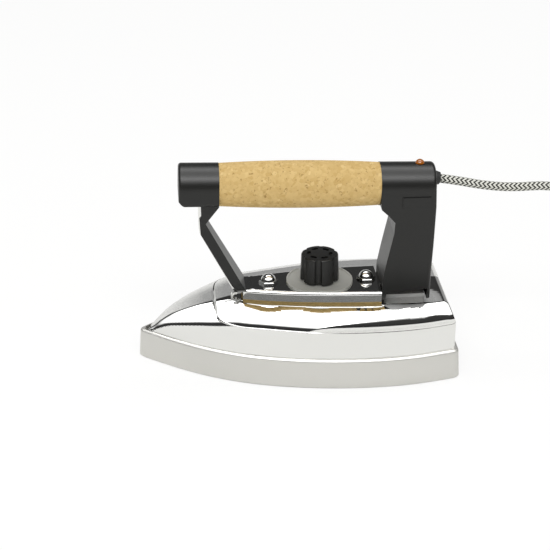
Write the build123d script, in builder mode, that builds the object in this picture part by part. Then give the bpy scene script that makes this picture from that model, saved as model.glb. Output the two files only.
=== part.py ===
from build123d import *
import math
import os

os.makedirs("parts", exist_ok=True)

# Dry pressing iron with a cork grip, all lengths in millimetres.
# X runs from the nose (minus) to the heel (plus), Z is up, and the origin is the middle of the
# sole's underside. The stack is clamped by two studs: sole, pressure plate, spacers, hood,
# insulating board and the frame that carries the handle.

overrun = 5.0
quarter_turn = 90.0
halvings = 30
hexagon_turn = 30.0
fit_gap = 0.1
seat_gap = 0.3

# Sole casting
sole_length = 215.0
sole_width = 118.0
sole_height = 20.6
sole_floor = 9.0
sole_wall = 6.0
sole_edge_radius = 1.6
sole_draft = 1.0
sole_foot_chamfer = 0.8
nose_radius = 4.0
nose_half_angle = 40.0
heel_radius = 5.0
heel_lean_angle = 14.0
heel_width_share = 0.858
side_shares = [(0.16, 0.475), (0.327, 0.778), (0.50, 0.938), (0.686, 1.0), (0.865, 0.956)]

# Seam between the sole and the hood
seam_inset = 3.3
seam_nose_inset = 4.4
seam_depth = 2.0

# Hood shell: square-shouldered across, with a ridge that climbs from the nose
hood_top = 42.5
hood_wall = 1.0
hood_squareness = 7.0
hood_heel_squareness = 20.0
hood_nose_run = 66.7
hood_crest_share = 0.985
hood_ridge_shares = [(0.0, 0.0), (0.128, 0.078), (0.31, 0.16), (0.49, 0.262), (0.64, 0.40),
                     (0.77, 0.56), (0.857, 0.70), (0.93, 0.82), (0.985, 0.94), (1.0, 1.0)]
hood_station_shares = [0.001, 0.005, 0.015, 0.035, 0.07, 0.12, 0.20, 0.30, 0.42, 0.56, 0.70,
                       0.85]

# Heating element: tube in a groove, with two risers at the heel
element_diameter = 8.0
element_riser_inset = 23.5
element_riser_y = 30.0
element_riser_top = 27.0
element_belly_inset = 67.5
element_belly_y = 36.0
element_waist_inset = 127.5
element_waist_y = 30.0
element_tip_inset = 31.5
element_bend = 10.0
element_sweep_bend = 60.0
element_tip_bend = 14.0
terminal_diameter = 3.4
terminal_length = 8.0
bead_diameter = 6.6
bead_length = 3.0

# Pressure plate over the element
plate_thickness = 8.0
plate_side_inset = 14.0
plate_nose_inset = 24.0
plate_nose_radius = 6.0
window_front = -2.0
window_rear = 36.0
window_width = 28.0

# Clamping studs
stud_diameter = 6.0
stud_front_x = -18.0
stud_rear_x = 49.1
stud_hole = 6.6
stud_foot = 3.0
spacer_diameter = 11.0
cap_nut_flats = 11.4
cap_nut_hex_height = 2.0
cap_nut_hex_chamfer = 0.5
cap_nut_dome_radius = 5.2
cap_nut_height = 6.2
cap_nut_wall = 2.4

# Insulating board and frame tray
board_thickness = 2.5
board_margin = 0.4
board_rear = 88.0
board_tail_width = 22.0
tray_front = -36.0
tray_rear = 57.0
tray_front_half = 10.0
tray_rear_half = 21.6
tray_side_shares = [(0.26, 0.715), (0.55, 0.885), (0.83, 0.975)]
tray_top = 52.3
tray_flange = 7.3
frame_sheet = 2.0
tray_bend_radius = 2.2
tray_step_x = -29.3
tray_step_width = 1.6
tray_step_height = 0.35

# Front strip of the frame
strip_width = 20.0
strip_knee_x = -41.0
strip_neck_x = -63.9
strip_neck_z = 95.0
strip_neck_width = 13.0
strip_taper_low = 57.0
strip_taper_high = 97.0
strip_top = 132.0
strip_knee_radius = 5.0
strip_neck_radius = 12.0
lug_x = -41.0
lug_z = 48.6
lug_radius = 3.4
lug_wire = 1.5
lug_width = 3.4
lug_bite = 0.5
lug_opening_angle = 70.0

# Rear tongue of the frame, inside the post
tongue_width = 18.0
tongue_x = 71.0
tongue_jog_low = 101.5
tongue_jog_high = 112.0
tongue_top_x = 62.5
tongue_top = 129.5
tongue_bend = 5.0

# Handle axis, which drops towards the heel
handle_front_x = -77.6
handle_rear_x = 92.9
axis_front_z = 126.4
axis_rear_z = 121.8
cap_length = 26.6
cap_radius = 14.6
cap_round = 2.0
cap_drop = 10.8
cap_under_round = 3.0
cap_bevel_run = 3.6
cap_bevel_rise = 4.0
collar_start = 133.5
collar_radius = 14.6
collar_round = 2.6
cork_end_radius = 14.3
cork_belly_radius = 15.8
rod_diameter = 6.0
rod_hole = 6.6
rod_head_flats = 10.0
rod_head_height = 4.0
rod_nut_height = 5.0
washer_diameter = 12.0
washer_thickness = 1.2
grip_tube_diameter = 12.0
grip_tube_wall = 1.0
front_plug_diameter = 13.0
front_plug_thickness = 3.0

# Front support: the moulded leg under the cap
leg_width = 23.0
leg_outer = [(-63.2, 116.0), (-63.0, 105.6), (-64.3, 104.1), (-63.7, 93.3), (-43.5, 55.9),
             (-40.6, 52.3)]
leg_inner = [(-34.2, 52.3), (-60.2, 100.8), (-51.0, 112.6), (-51.0, 118.0)]
leg_screw_x = -38.2
leg_screw_diameter = 3.0
leg_screw_length = 5.5
leg_screw_head = 6.0

# Rear post: hollow moulding behind the grip
post_width = 29.0
post_wall = 3.0
post_bottom = hood_top + seat_gap
post_front = [(55.9, 112.0), (56.4, 109.5), (61.5, 104.7), (65.7, 99.8), (65.2, 92.0),
              (61.0, 72.0), (58.4, 58.0), (58.0, post_bottom)]
post_rear = [(91.4, post_bottom), (91.6, 60.2), (92.6, 83.3), (93.3, 109.7), (92.9, 121.8)]
post_foot_rear = 61.0
post_side_low = 47.0
post_side_high = 50.8
post_edge_radius = 2.4
post_bulkhead = 5.4
cover_thickness = 2.4
rib_front = 70.2
rib_rear = 89.0
rib_low = 111.3
rib_high = 118.0
rib_proud = 0.8
cover_screw_diameter = 3.0
cover_screw_head = 5.6
cover_screw_height = 1.5
cover_screw_length = 9.0
cover_screw_low = 54.0
cover_screw_high = 108.0
cover_screw_y = 8.8
boss_length = 8.0
boss_height = 7.0
boss_depth = 5.0

# Dial and knob
dial_x = 17.0
dial_radius = 22.6
dial_thickness = 1.0
dial_rim_width = 1.2
dial_rim_height = 0.3
knob_gap = 0.5
knob_top = 72.8
knob_base_radius = 13.2
knob_top_radius = 12.6
knob_lobes = 6
knob_groove_width = 5.5
knob_groove_depth = 2.2
knob_first_groove_angle = -100.0
knob_edge = 1.4
knob_dimple_length = 5.0
knob_dimple_width = 2.6
knob_dimple_depth = 1.4
knob_dimple_ring = 7.4
knob_socket_depth = 12.0
spindle_diameter = 6.0
spindle_flat = 1.2
bush_diameter = 9.0
bush_flange_diameter = 13.0
bush_flange = 0.8
bush_nut_flats = 12.0
bush_nut_height = 2.6
running_gap = 0.05

# Thermostat on the sole, under the knob
bracket_length = 36.0
bracket_width = 14.0
bracket_sheet = 1.5
bracket_top = 36.0
bridge_length = 9.0
base_screw_reach = 15.0
base_screw_diameter = 3.0
base_screw_head = 5.0
base_screw_height = 1.8
pillar_reach = 8.0
pillar_diameter = 8.0
pillar_rivet = 3.0
pillar_cap = 3.2
leaf_width = 7.0
leaf_thickness = 0.8
bimetal_z = 14.0
contact_leaf_z = 19.0
upper_leaf_z = 24.0
leaf_reach = 20.0
leaf_tail = 7.0
contact_diameter = 3.6
adjuster_diameter = 4.0
adjuster_length = 6.0
adjuster_rest_gap = 0.7

# Terminal block, clamp, lamp and wiring in the post
block_length = 9.0
block_width = 20.0
block_height = 16.0
block_z = 66.0
block_pitch = 11.0
block_screw_diameter = 3.4
block_screw_length = 2.4
clamp_z = 96.0
clamp_height = 7.0
clamp_thickness = 2.5
clamp_screw_y = 6.2
clamp_screw_diameter = 2.6
clamp_screw_head = 4.6
clamp_screw_height = 1.6
earth_z = 79.0
earth_ring_diameter = 6.4
earth_ring_thickness = 0.8
earth_screw_diameter = 3.0
earth_screw_head = 4.6
earth_screw_height = 1.8
inner_cord_end = 86.0
inner_cord_bend = 8.0
lamp_x = 83.0
lamp_diameter = 6.2
lamp_dome_height = 2.6
lamp_stem_diameter = 4.6
lamp_stem_length = 3.2
lamp_bulb_diameter = 3.0
lamp_bulb_length = 5.0
lamp_dome_wall = 0.9
wire_diameter = 2.0
wire_bend = 2.5
wire_ring = 1.3

# Cord: free lead, coil, tail and plug
cord_diameter = 6.0
cord_radius = cord_diameter / 2
sleeve_out = 3.6
sleeve_in = 9.0
sleeve_root_radius = 5.0
sleeve_tip_radius = 4.2
lead_points = [(96.5, 0.0, 125.2), (110.0, 0.0, 122.9), (125.0, 0.0, 119.4), (146.0, 0.0, 116.7),
               (174.0, 0.0, 118.0), (194.3, -1.8, 109.8), (209.3, -5.0, 93.9),
               (216.3, -7.5, 73.3), (217.2, -8.0, 44.3), (224.1, -13.8, 24.2),
               (235.0, -25.9, 9.5), (245.0, -39.6, 3.0), (255.0, -56.9, 3.0)]
bend_share = 0.45
coil_radius = 40.0
coil_track_step = 7.0
coil_layer_step = 7.0
coil_half_turns = 4
coil_layers = 4
cord_gap_pace = 1.8
tail_run = 12.0
tail_slope_run = 14.0
plug_radius = 19.5
plug_edge = 1.6
plug_body_length = 22.0
plug_neck_length = 13.0
plug_neck_radius = 6.5
plug_pin_diameter = 4.8
plug_pin_length = 19.0
plug_pin_spacing = 19.0

half_length = sole_length / 2
half_width = sole_width / 2
element_riser_x = half_length - element_riser_inset
element_belly_x = half_length - element_belly_inset
element_waist_x = half_length - element_waist_inset
element_tip_x = -half_length + element_tip_inset
seam_z = sole_height - seam_depth
hood_rise = hood_top - seam_z
board_top = hood_top + board_thickness
tray_under = tray_top - frame_sheet


def heel_direction():
    """Direction in which the plan's side reaches the heel corner."""
    heel_turn = math.radians(heel_lean_angle)
    return (math.cos(heel_turn), -math.sin(heel_turn))


def side_ends():
    """Directions of the plan's side at the nose and at the heel."""
    nose_turn = math.radians(nose_half_angle)
    return ((math.cos(nose_turn), math.sin(nose_turn)), heel_direction())


def side_line(nose_inset, side_inset, heel_inset, nose_round, heel_round):
    """Points of the plan's side from nose to heel."""
    front = -half_length + nose_inset
    rear = half_length - heel_inset
    half = half_width - side_inset
    nose_turn = math.radians(nose_half_angle)
    heel_turn = math.radians(heel_lean_angle)
    side = [(front + nose_round * (1 - math.sin(nose_turn)), nose_round * math.cos(nose_turn))]
    side += [(front + (rear - front) * along, half * across) for along, across in side_shares]
    side += [(rear - heel_round * (1 - math.sin(heel_turn)), half * heel_width_share)]
    return side


def closed_plan(front, side, ends, rear, heel_round):
    """Plan closed by a rounded nose, a rounded heel corner and the mirror image."""
    finish = heel_direction()
    heel_end = side[-1][1] - heel_round * math.cos(math.radians(heel_lean_angle))
    with BuildSketch() as plan:
        with BuildLine():
            Spline(*side, tangents=ends)
            TangentArc(side[-1], (rear, heel_end), tangent=finish)
            Line((rear, heel_end), (rear, 0))
            mirror(about=Plane.XZ)
            ThreePointArc((side[0][0], -side[0][1]), (front, 0), side[0])
        make_face()
    return plan.sketch


def plan_outline(nose_inset, side_inset, heel_inset, nose_round, heel_round):
    """Pointed plan of the iron, drawn in from the sole's own outline."""
    side = side_line(nose_inset, side_inset, heel_inset, nose_round, heel_round)
    return closed_plan(-half_length + nose_inset, side, side_ends(),
                       half_length - heel_inset, heel_round)


def sole_outline(inset):
    """The sole's plan, drawn in by a wall or margin all round."""
    nose_inset = inset * seam_nose_inset / seam_inset
    return plan_outline(nose_inset, inset, inset, nose_radius, heel_radius)


def width_at(line, x):
    """Half width of a plan at a place along its side."""
    low, high = 0.0, 1.0
    for _ in range(halvings):
        middle = (low + high) / 2
        if (line @ middle).X < x:
            low = middle
        else:
            high = middle
    return (line @ low).Y


def ridge_share(run):
    """Share of its full rise that the ridge has reached after a share of its run."""
    for (low, near), (high, far) in zip(hood_ridge_shares, hood_ridge_shares[1:]):
        if run < far:
            return low + (high - low) * (run - near) / (far - near)
    return 1.0


def square_share(level, along):
    """Share of the half width left at a share of the height, squarer toward the heel."""
    squareness = hood_squareness + (hood_heel_squareness - hood_squareness) * along ** 2
    return (1 - level ** squareness) ** (1 / squareness)


def hood_outline(wall, level, run):
    """Plan of the hood at a share of its rise, where the ridge has come a share of its run."""
    nose = -half_length + seam_nose_inset + wall
    half = half_width - seam_inset - wall
    base_side = side_line(seam_nose_inset + wall, seam_inset + wall, seam_inset + wall,
                          nose_radius, heel_radius)
    with BuildLine() as base:
        Spline(*base_side, tangents=side_ends())
    heel = half_length - seam_inset - wall
    margin = half * (1 - square_share(level, 1))
    front = nose + run * hood_nose_run
    rear = heel - margin
    heel_x = rear - heel_radius * (1 - math.sin(math.radians(heel_lean_angle)))
    side = []
    for share in hood_station_shares:
        x = front + share * (rear - front)
        crest = ridge_share((x - nose) / hood_nose_run)
        along = (x - nose) / (heel - nose)
        side.append((x, width_at(base.line, x) * square_share(level / crest, along)))
    side.append((heel_x, (half - margin) * heel_width_share))
    return closed_plan(front, side, None, rear, heel_radius)


def hood_form(wall):
    """Solid of the hood's outside, or of its inside when a wall is given."""
    rise = (hood_rise - wall) / hood_crest_share
    with BuildPart() as form:
        for level, run in hood_ridge_shares[:-1]:
            with BuildSketch(Plane.XY.offset(seam_z + level * rise)):
                if level:
                    add(hood_outline(wall, level, run))
                else:
                    add(plan_outline(seam_nose_inset + wall, seam_inset + wall, seam_inset + wall,
                                     nose_radius, heel_radius))
        loft(ruled=True)
    return form.part


def rod_between(path_points, radii, diameter):
    """Round rod or wire along straight runs joined by arcs."""
    with BuildPart() as rod:
        with BuildLine() as path:
            FilletPolyline(*path_points, radius=radii)
        with BuildSketch(Plane(origin=path.line @ 0, z_dir=path.line % 0)):
            Circle(diameter / 2)
        sweep(path=path.line)
    return rod.part


def bent_strip(path_points, radii, width, thickness, outward):
    """Flat strip bent along a path in the XZ plane, moved outward by a share of itself."""
    with BuildPart() as strip:
        with BuildLine() as path:
            FilletPolyline(*path_points, radius=radii)
        with BuildSketch(Plane(origin=path.line @ 0, x_dir=(0, 1, 0), z_dir=path.line % 0)):
            with Locations((0, outward)):
                Rectangle(width, thickness)
        sweep(path=path.line)
    return strip.part


def axis_height(x):
    """Height of the handle's axis over a place along the iron."""
    share = (x - handle_front_x) / (handle_rear_x - handle_front_x)
    return axis_front_z + share * (axis_rear_z - axis_front_z)


def on_axis(distance):
    """Plane square to the handle's axis, a distance behind the front cap's end."""
    run = handle_rear_x - handle_front_x
    drop = axis_rear_z - axis_front_z
    length = math.hypot(run, drop)
    x = handle_front_x + distance * run / length
    z = axis_front_z + distance * drop / length
    return Plane(origin=(x, 0, z), x_dir=(0, 1, 0), z_dir=(run, 0, drop))


def save(piece, name):
    """Label a piece and write it out."""
    piece.part.label = name
    export_step(piece.part, "parts/" + name + ".step")


# Heating element path, from one riser round the nose to the other
element_side = [
    (element_riser_x, element_riser_y, element_riser_top),
    (element_riser_x, element_riser_y, sole_floor),
    (element_belly_x, element_belly_y, sole_floor),
    (element_waist_x, element_waist_y, sole_floor),
]
element_points = element_side + [(element_tip_x, 0, sole_floor)]
element_points += [(x, -y, z) for x, y, z in reversed(element_side)]
element_radii = [element_bend, element_sweep_bend, element_sweep_bend, element_tip_bend]
element_radii += [element_sweep_bend, element_sweep_bend, element_bend]
element_groove = rod_between(element_points, element_radii, element_diameter + 2 * fit_gap)

# Sole plate: cast aluminium with the groove in its floor and a rebate for the hood
with BuildPart() as sole_plate:
    with BuildSketch(Plane.XY):
        add(sole_outline(0))
    with BuildSketch(Plane.XY.offset(sole_height)):
        add(sole_outline(sole_draft))
    loft(ruled=True)
    fillet(sole_plate.faces().sort_by(Axis.Z)[-1].edges(), sole_edge_radius)
    chamfer(sole_plate.faces().sort_by(Axis.Z)[0].edges(), sole_foot_chamfer)
    with BuildSketch(Plane.XY.offset(sole_floor)):
        add(sole_outline(sole_wall))
    extrude(amount=sole_height, mode=Mode.SUBTRACT)
    with BuildSketch(Plane.XY.offset(seam_z)):
        add(plan_outline(seam_nose_inset - fit_gap, seam_inset - fit_gap,
                         seam_inset - fit_gap, nose_radius, heel_radius))
    extrude(amount=sole_height, mode=Mode.SUBTRACT)
    add(element_groove, mode=Mode.SUBTRACT)
    with BuildSketch(Plane.XY.offset(stud_foot)):
        with Locations((stud_front_x, 0), (stud_rear_x, 0)):
            Circle(stud_diameter / 2)
        with Locations((dial_x + base_screw_reach, 0), (dial_x - base_screw_reach, 0)):
            Circle(base_screw_diameter / 2)
    extrude(amount=sole_floor, mode=Mode.SUBTRACT)
save(sole_plate, "sole_plate")

# Heating element
with BuildPart() as heating_element:
    add(rod_between(element_points, element_radii, element_diameter))
save(heating_element, "heating_element")

# Terminal pins with their insulating beads, on the risers
with BuildPart() as element_terminals:
    with BuildSketch(Plane.XY.offset(element_riser_top)):
        with Locations((element_riser_x, element_riser_y), (element_riser_x, -element_riser_y)):
            Circle(bead_diameter / 2)
    extrude(amount=bead_length)
    with BuildSketch(Plane.XY.offset(element_riser_top + bead_length)):
        with Locations((element_riser_x, element_riser_y), (element_riser_x, -element_riser_y)):
            Circle(terminal_diameter / 2)
    extrude(amount=terminal_length)
save(element_terminals, "element_terminals")

# Pressure plate, with a window for the thermostat
plate_top = sole_floor + plate_thickness
window_length = window_rear - window_front
window_middle = (window_rear + window_front) / 2
with BuildPart() as pressure_plate:
    with BuildSketch(Plane.XY.offset(sole_floor)):
        add(plan_outline(plate_nose_inset, plate_side_inset, plate_side_inset,
                         plate_nose_radius, heel_radius))
        with Locations((stud_front_x, 0), (stud_rear_x, 0)):
            Circle(stud_hole / 2, mode=Mode.SUBTRACT)
        with Locations((window_middle, 0)):
            Rectangle(window_length, window_width, mode=Mode.SUBTRACT)
    extrude(amount=plate_thickness)
    add(element_groove, mode=Mode.SUBTRACT)
save(pressure_plate, "pressure_plate")

# Spacer tubes between the pressure plate and the hood
with BuildPart() as spacer_tubes:
    with BuildSketch(Plane.XY.offset(plate_top)):
        with Locations((stud_front_x, 0), (stud_rear_x, 0)):
            Circle(spacer_diameter / 2)
            Circle(stud_hole / 2, mode=Mode.SUBTRACT)
    extrude(amount=hood_top - hood_wall - plate_top)
save(spacer_tubes, "spacer_tubes")

# Clamping studs, screwed into the sole
stud_top = tray_top + cap_nut_height - cap_nut_wall
with BuildPart() as clamp_studs:
    with BuildSketch(Plane.XY.offset(stud_foot)):
        with Locations((stud_front_x, 0), (stud_rear_x, 0)):
            Circle(stud_diameter / 2)
    extrude(amount=stud_top - stud_foot)
save(clamp_studs, "clamp_studs")

# Domed nuts on the tray
dome_foot = tray_top + cap_nut_hex_height
dome_rise = cap_nut_height - cap_nut_hex_height
dome_sphere = (cap_nut_dome_radius ** 2 + dome_rise ** 2) / (2 * dome_rise)
dome_centre = tray_top + cap_nut_height - dome_sphere
dome_angle = math.degrees(math.asin((dome_foot - dome_centre) / dome_sphere))
with BuildPart() as cap_nuts:
    for nut_x in (stud_front_x, stud_rear_x):
        with BuildSketch(Plane.XY.offset(tray_top)):
            with Locations((nut_x, 0)):
                RegularPolygon(cap_nut_flats / 2, 6, major_radius=False)
        hexagon = extrude(amount=cap_nut_hex_height)
        chamfer(hexagon.faces().sort_by(Axis.Z)[-1].edges(), cap_nut_hex_chamfer)
        with BuildSketch(Plane.XZ):
            with BuildLine():
                CenterArc((nut_x, dome_centre), dome_sphere, dome_angle, quarter_turn - dome_angle)
                Line((nut_x, tray_top + cap_nut_height), (nut_x, dome_foot))
                Line((nut_x, dome_foot), (nut_x + cap_nut_dome_radius, dome_foot))
            make_face()
        revolve(axis=Axis((nut_x, 0, 0), (0, 0, 1)))
    with BuildSketch(Plane.XY.offset(tray_top)):
        with Locations((stud_front_x, 0), (stud_rear_x, 0)):
            Circle(stud_diameter / 2)
    extrude(amount=stud_top - tray_top, mode=Mode.SUBTRACT)
save(cap_nuts, "cap_nuts")

# Hood: chromed pressed shell with its openings
hood_outside = hood_form(0)
hood_inside = hood_form(hood_wall)
wire_hole_x = (tongue_x + handle_rear_x) / 2
with BuildPart() as hood:
    add(hood_outside)
    add(hood_inside, mode=Mode.SUBTRACT)
    with BuildSketch(Plane.XY.offset(hood_top - hood_wall - overrun)):
        with Locations((stud_front_x, 0), (stud_rear_x, 0)):
            Circle(stud_hole / 2)
        with Locations((dial_x, 0)):
            Circle(bush_diameter / 2)
        with Locations((wire_hole_x, 0)):
            Circle(spacer_diameter / 2)
    extrude(amount=2 * overrun, mode=Mode.SUBTRACT)
save(hood, "hood")


def tray_outline(margin, front, rear):
    """Plan of the frame's tray, grown by a margin and cut to a front and a rear."""
    length = tray_rear - tray_front
    side = [(tray_front, tray_front_half + margin)]
    side += [(tray_front + length * along, tray_rear_half * across + margin)
             for along, across in tray_side_shares]
    side += [(tray_rear, tray_rear_half + margin)]
    middle = (front + rear) / 2
    with BuildSketch() as plan:
        with BuildLine():
            Spline(*side)
            Line(side[-1], (tray_rear, 0))
            Line(side[0], (tray_front, 0))
            mirror(about=Plane.XZ)
        make_face()
        with Locations((middle, 0)):
            Rectangle(rear - front, sole_width, mode=Mode.INTERSECT)
    return plan.sketch


# Insulating board under the tray and the post
with BuildPart() as insulating_board:
    with BuildSketch(Plane.XY.offset(hood_top)):
        add(tray_outline(board_margin, tray_front, tray_rear))
        with Locations(((tray_rear + board_rear) / 2 - overrun, 0)):
            Rectangle(board_rear - tray_rear + 2 * overrun, board_tail_width)
        with Locations((stud_front_x, 0), (stud_rear_x, 0)):
            Circle(stud_hole / 2, mode=Mode.SUBTRACT)
        with Locations((dial_x, 0)):
            Circle(bush_diameter / 2, mode=Mode.SUBTRACT)
        with Locations((wire_hole_x, 0)):
            Circle(spacer_diameter / 2, mode=Mode.SUBTRACT)
    extrude(amount=board_thickness)
save(insulating_board, "insulating_board")


def side_wedges(margin):
    """Blocks beside the front strip, which narrow it towards the neck."""
    low_y = strip_width / 2 + margin
    high_y = strip_neck_width / 2 + margin
    with BuildPart() as wedges:
        with BuildSketch(Plane.YZ.offset(handle_front_x)):
            for side in (-1, 1):
                Polygon((side * low_y, strip_taper_low), (side * high_y, strip_taper_high),
                        (side * high_y, strip_top + overrun),
                        (side * strip_width, strip_top + overrun),
                        (side * strip_width, strip_taper_low), align=None)
        extrude(amount=tray_front - handle_front_x)
    return wedges.part


def lug_point(radius, side):
    """End of a lug's hook, on its upper or lower side."""
    turn = math.radians(lug_opening_angle)
    return (lug_x + radius * math.cos(turn), lug_z + side * radius * math.sin(turn))


# Frame: tray with turned-down flanges, front strip, rear tongue and two hooked lugs
sheet_middle = tray_top - frame_sheet / 2
strip_path = [
    (tray_front + overrun, 0, sheet_middle),
    (strip_knee_x, 0, sheet_middle),
    (strip_neck_x, 0, strip_neck_z),
    (strip_neck_x, 0, strip_top),
]
tongue_path = [
    (tray_rear - overrun, 0, sheet_middle),
    (tongue_x, 0, sheet_middle),
    (tongue_x, 0, tongue_jog_low),
    (tongue_top_x, 0, tongue_jog_high),
    (tongue_top_x, 0, tongue_top),
]
strip_radii = [strip_knee_radius, strip_neck_radius]
front_strip = bent_strip(strip_path, strip_radii, strip_width, frame_sheet, 0) - side_wedges(0)
rear_tongue = bent_strip(tongue_path, tongue_bend, tongue_width, frame_sheet, 0)
with BuildPart() as frame_bracket:
    with BuildSketch(Plane.XY.offset(tray_top - tray_flange)):
        add(tray_outline(0, tray_front, tray_rear))
    extrude(amount=tray_flange)
    top_edges = frame_bracket.faces().sort_by(Axis.Z)[-1].edges()
    fillet(top_edges.filter_by(GeomType.BSPLINE), tray_bend_radius)
    with BuildSketch(Plane.XY.offset(tray_top - tray_flange)):
        add(tray_outline(-frame_sheet, tray_front - overrun, tray_rear - frame_sheet))
    extrude(amount=tray_flange - frame_sheet, mode=Mode.SUBTRACT)
    add(front_strip)
    add(rear_tongue)
    with BuildSketch(Plane.XY.offset(tray_top)):
        add(tray_outline(-tray_bend_radius, tray_step_x - tray_step_width / 2,
                         tray_step_x + tray_step_width / 2))
    extrude(amount=tray_step_height)
    with BuildSketch(Plane.XY.offset(tray_under - overrun)):
        with Locations((stud_front_x, 0), (stud_rear_x, 0)):
            Circle(stud_hole / 2)
        with Locations((dial_x, 0)):
            Circle(bush_diameter / 2)
        with Locations((leg_screw_x, 0)):
            Circle(leg_screw_diameter / 2)
    extrude(amount=2 * overrun, mode=Mode.SUBTRACT)
    with BuildSketch(on_axis(0)):
        Circle(rod_hole / 2)
    extrude(amount=handle_rear_x - handle_front_x, mode=Mode.SUBTRACT)
    for side in (-1, 1):
        lug_y = strip_width / 2 - lug_bite + lug_width / 2
        with BuildSketch(Plane.XZ.offset(side * lug_y - lug_width / 2)):
            with BuildLine():
                CenterArc((lug_x, lug_z), lug_radius, lug_opening_angle,
                          4 * quarter_turn - 2 * lug_opening_angle)
                CenterArc((lug_x, lug_z), lug_radius - lug_wire, lug_opening_angle,
                          4 * quarter_turn - 2 * lug_opening_angle)
                Line(lug_point(lug_radius, 1), lug_point(lug_radius - lug_wire, 1))
                Line(lug_point(lug_radius, -1), lug_point(lug_radius - lug_wire, -1))
            make_face()
        extrude(amount=lug_width)
save(frame_bracket, "frame_bracket")


# Front support: arched cap and leg in one dark moulding, with a channel for the strip
channel = 3 * frame_sheet
strip_channel = bent_strip(strip_path, strip_radii, strip_width + 2 * fit_gap, channel,
                           (channel - frame_sheet) / 2) - side_wedges(fit_gap)
head_stop = strip_neck_x - frame_sheet / 2 - handle_front_x - seat_gap
head_pocket = rod_head_flats / math.cos(math.radians(hexagon_turn)) + 2 * fit_gap
cap_low = axis_front_z - cap_drop
leg_wall = (leg_width - strip_width) / 2
with BuildPart() as leg:
    with BuildSketch(Plane.XZ):
        Polygon(*leg_outer, *leg_inner, align=None)
    extrude(amount=leg_width / 2, both=True)
    add(side_wedges(leg_wall), mode=Mode.SUBTRACT)
with BuildPart() as front_support:
    with BuildSketch(on_axis(0)) as cap_face:
        Circle(cap_radius)
        with Locations((0, -cap_drop / 2)):
            Rectangle(2 * cap_radius, cap_drop)
        with Locations((0, (cap_radius - cap_drop) / 2)):
            Rectangle(2 * cap_radius, cap_radius + cap_drop, mode=Mode.INTERSECT)
        fillet(cap_face.vertices().group_by(Axis.Y)[0], radius=cap_under_round)
    extrude(amount=cap_length)
    fillet(front_support.faces().sort_by(Axis.X)[0].edges(), cap_round)
    add(leg.part)
    with BuildSketch(Plane.XZ):
        Polygon((handle_front_x - overrun, cap_low + cap_bevel_rise),
                (handle_front_x, cap_low + cap_bevel_rise),
                (handle_front_x + cap_bevel_run, cap_low),
                (handle_front_x + cap_bevel_run, cap_low - overrun),
                (handle_front_x - overrun, cap_low - overrun), align=None)
    extrude(amount=cap_radius + overrun, both=True, mode=Mode.SUBTRACT)
    add(strip_channel, mode=Mode.SUBTRACT)
    with BuildSketch(on_axis(-fit_gap)):
        Circle(front_plug_diameter / 2 + fit_gap)
    extrude(amount=front_plug_thickness + fit_gap, mode=Mode.SUBTRACT)
    with BuildSketch(on_axis(0)):
        Circle(head_pocket / 2)
    extrude(amount=head_stop + fit_gap, mode=Mode.SUBTRACT)
    with BuildSketch(on_axis(0)):
        Circle(rod_hole / 2)
    extrude(amount=cap_length + overrun, mode=Mode.SUBTRACT)
    with BuildSketch(on_axis(cap_length)):
        Circle(cork_end_radius + fit_gap)
    extrude(amount=overrun, mode=Mode.SUBTRACT)
    with BuildSketch(Plane.XY.offset(tray_under)):
        with Locations((leg_screw_x, 0)):
            Circle(leg_screw_diameter / 2)
    extrude(amount=leg_screw_length, mode=Mode.SUBTRACT)
save(front_support, "front_support")

# Plug that closes the cap's front
with BuildPart() as front_plug:
    with BuildSketch(on_axis(0)):
        Circle(front_plug_diameter / 2)
    extrude(amount=front_plug_thickness)
    fillet(front_plug.faces().sort_by(Axis.X)[0].edges(), fit_gap * 4)
save(front_plug, "front_plug")

# Screw from the tray up into the leg
with BuildPart() as leg_screw:
    with BuildSketch(Plane.XY.offset(tray_under)):
        with Locations((leg_screw_x, 0)):
            Circle(leg_screw_diameter / 2)
    extrude(amount=leg_screw_length)
    with BuildSketch(Plane.XY.offset(tray_under)):
        with Locations((leg_screw_x, 0)):
            Circle(leg_screw_head / 2)
    extrude(amount=-leg_screw_diameter / 2)
save(leg_screw, "leg_screw")

# Tie rod through the handle, with its nut and washer in the post
tongue_back = tongue_top_x + frame_sheet / 2 - handle_front_x + seat_gap
with BuildPart() as tie_rod:
    with BuildSketch(on_axis(head_stop - rod_head_height)):
        RegularPolygon(rod_head_flats / 2, 6, major_radius=False)
    extrude(amount=rod_head_height)
    with BuildSketch(on_axis(head_stop)):
        Circle(rod_diameter / 2)
    extrude(amount=tongue_back + washer_thickness + rod_nut_height - head_stop)
save(tie_rod, "tie_rod")

with BuildPart() as tie_washer:
    with BuildSketch(on_axis(tongue_back)):
        Circle(washer_diameter / 2)
        Circle(rod_diameter / 2, mode=Mode.SUBTRACT)
    extrude(amount=washer_thickness)
save(tie_washer, "tie_washer")

with BuildPart() as tie_nut:
    with BuildSketch(on_axis(tongue_back + washer_thickness)):
        RegularPolygon(rod_head_flats / 2, 6, major_radius=False)
        Circle(rod_diameter / 2, mode=Mode.SUBTRACT)
    extrude(amount=rod_nut_height)
save(tie_nut, "tie_nut")

# Steel tube inside the grip
with BuildPart() as grip_tube:
    with BuildSketch(on_axis(cap_length)):
        Circle(grip_tube_diameter / 2)
        Circle(grip_tube_diameter / 2 - grip_tube_wall, mode=Mode.SUBTRACT)
    extrude(amount=collar_start - cap_length)
save(grip_tube, "grip_tube")

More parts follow.
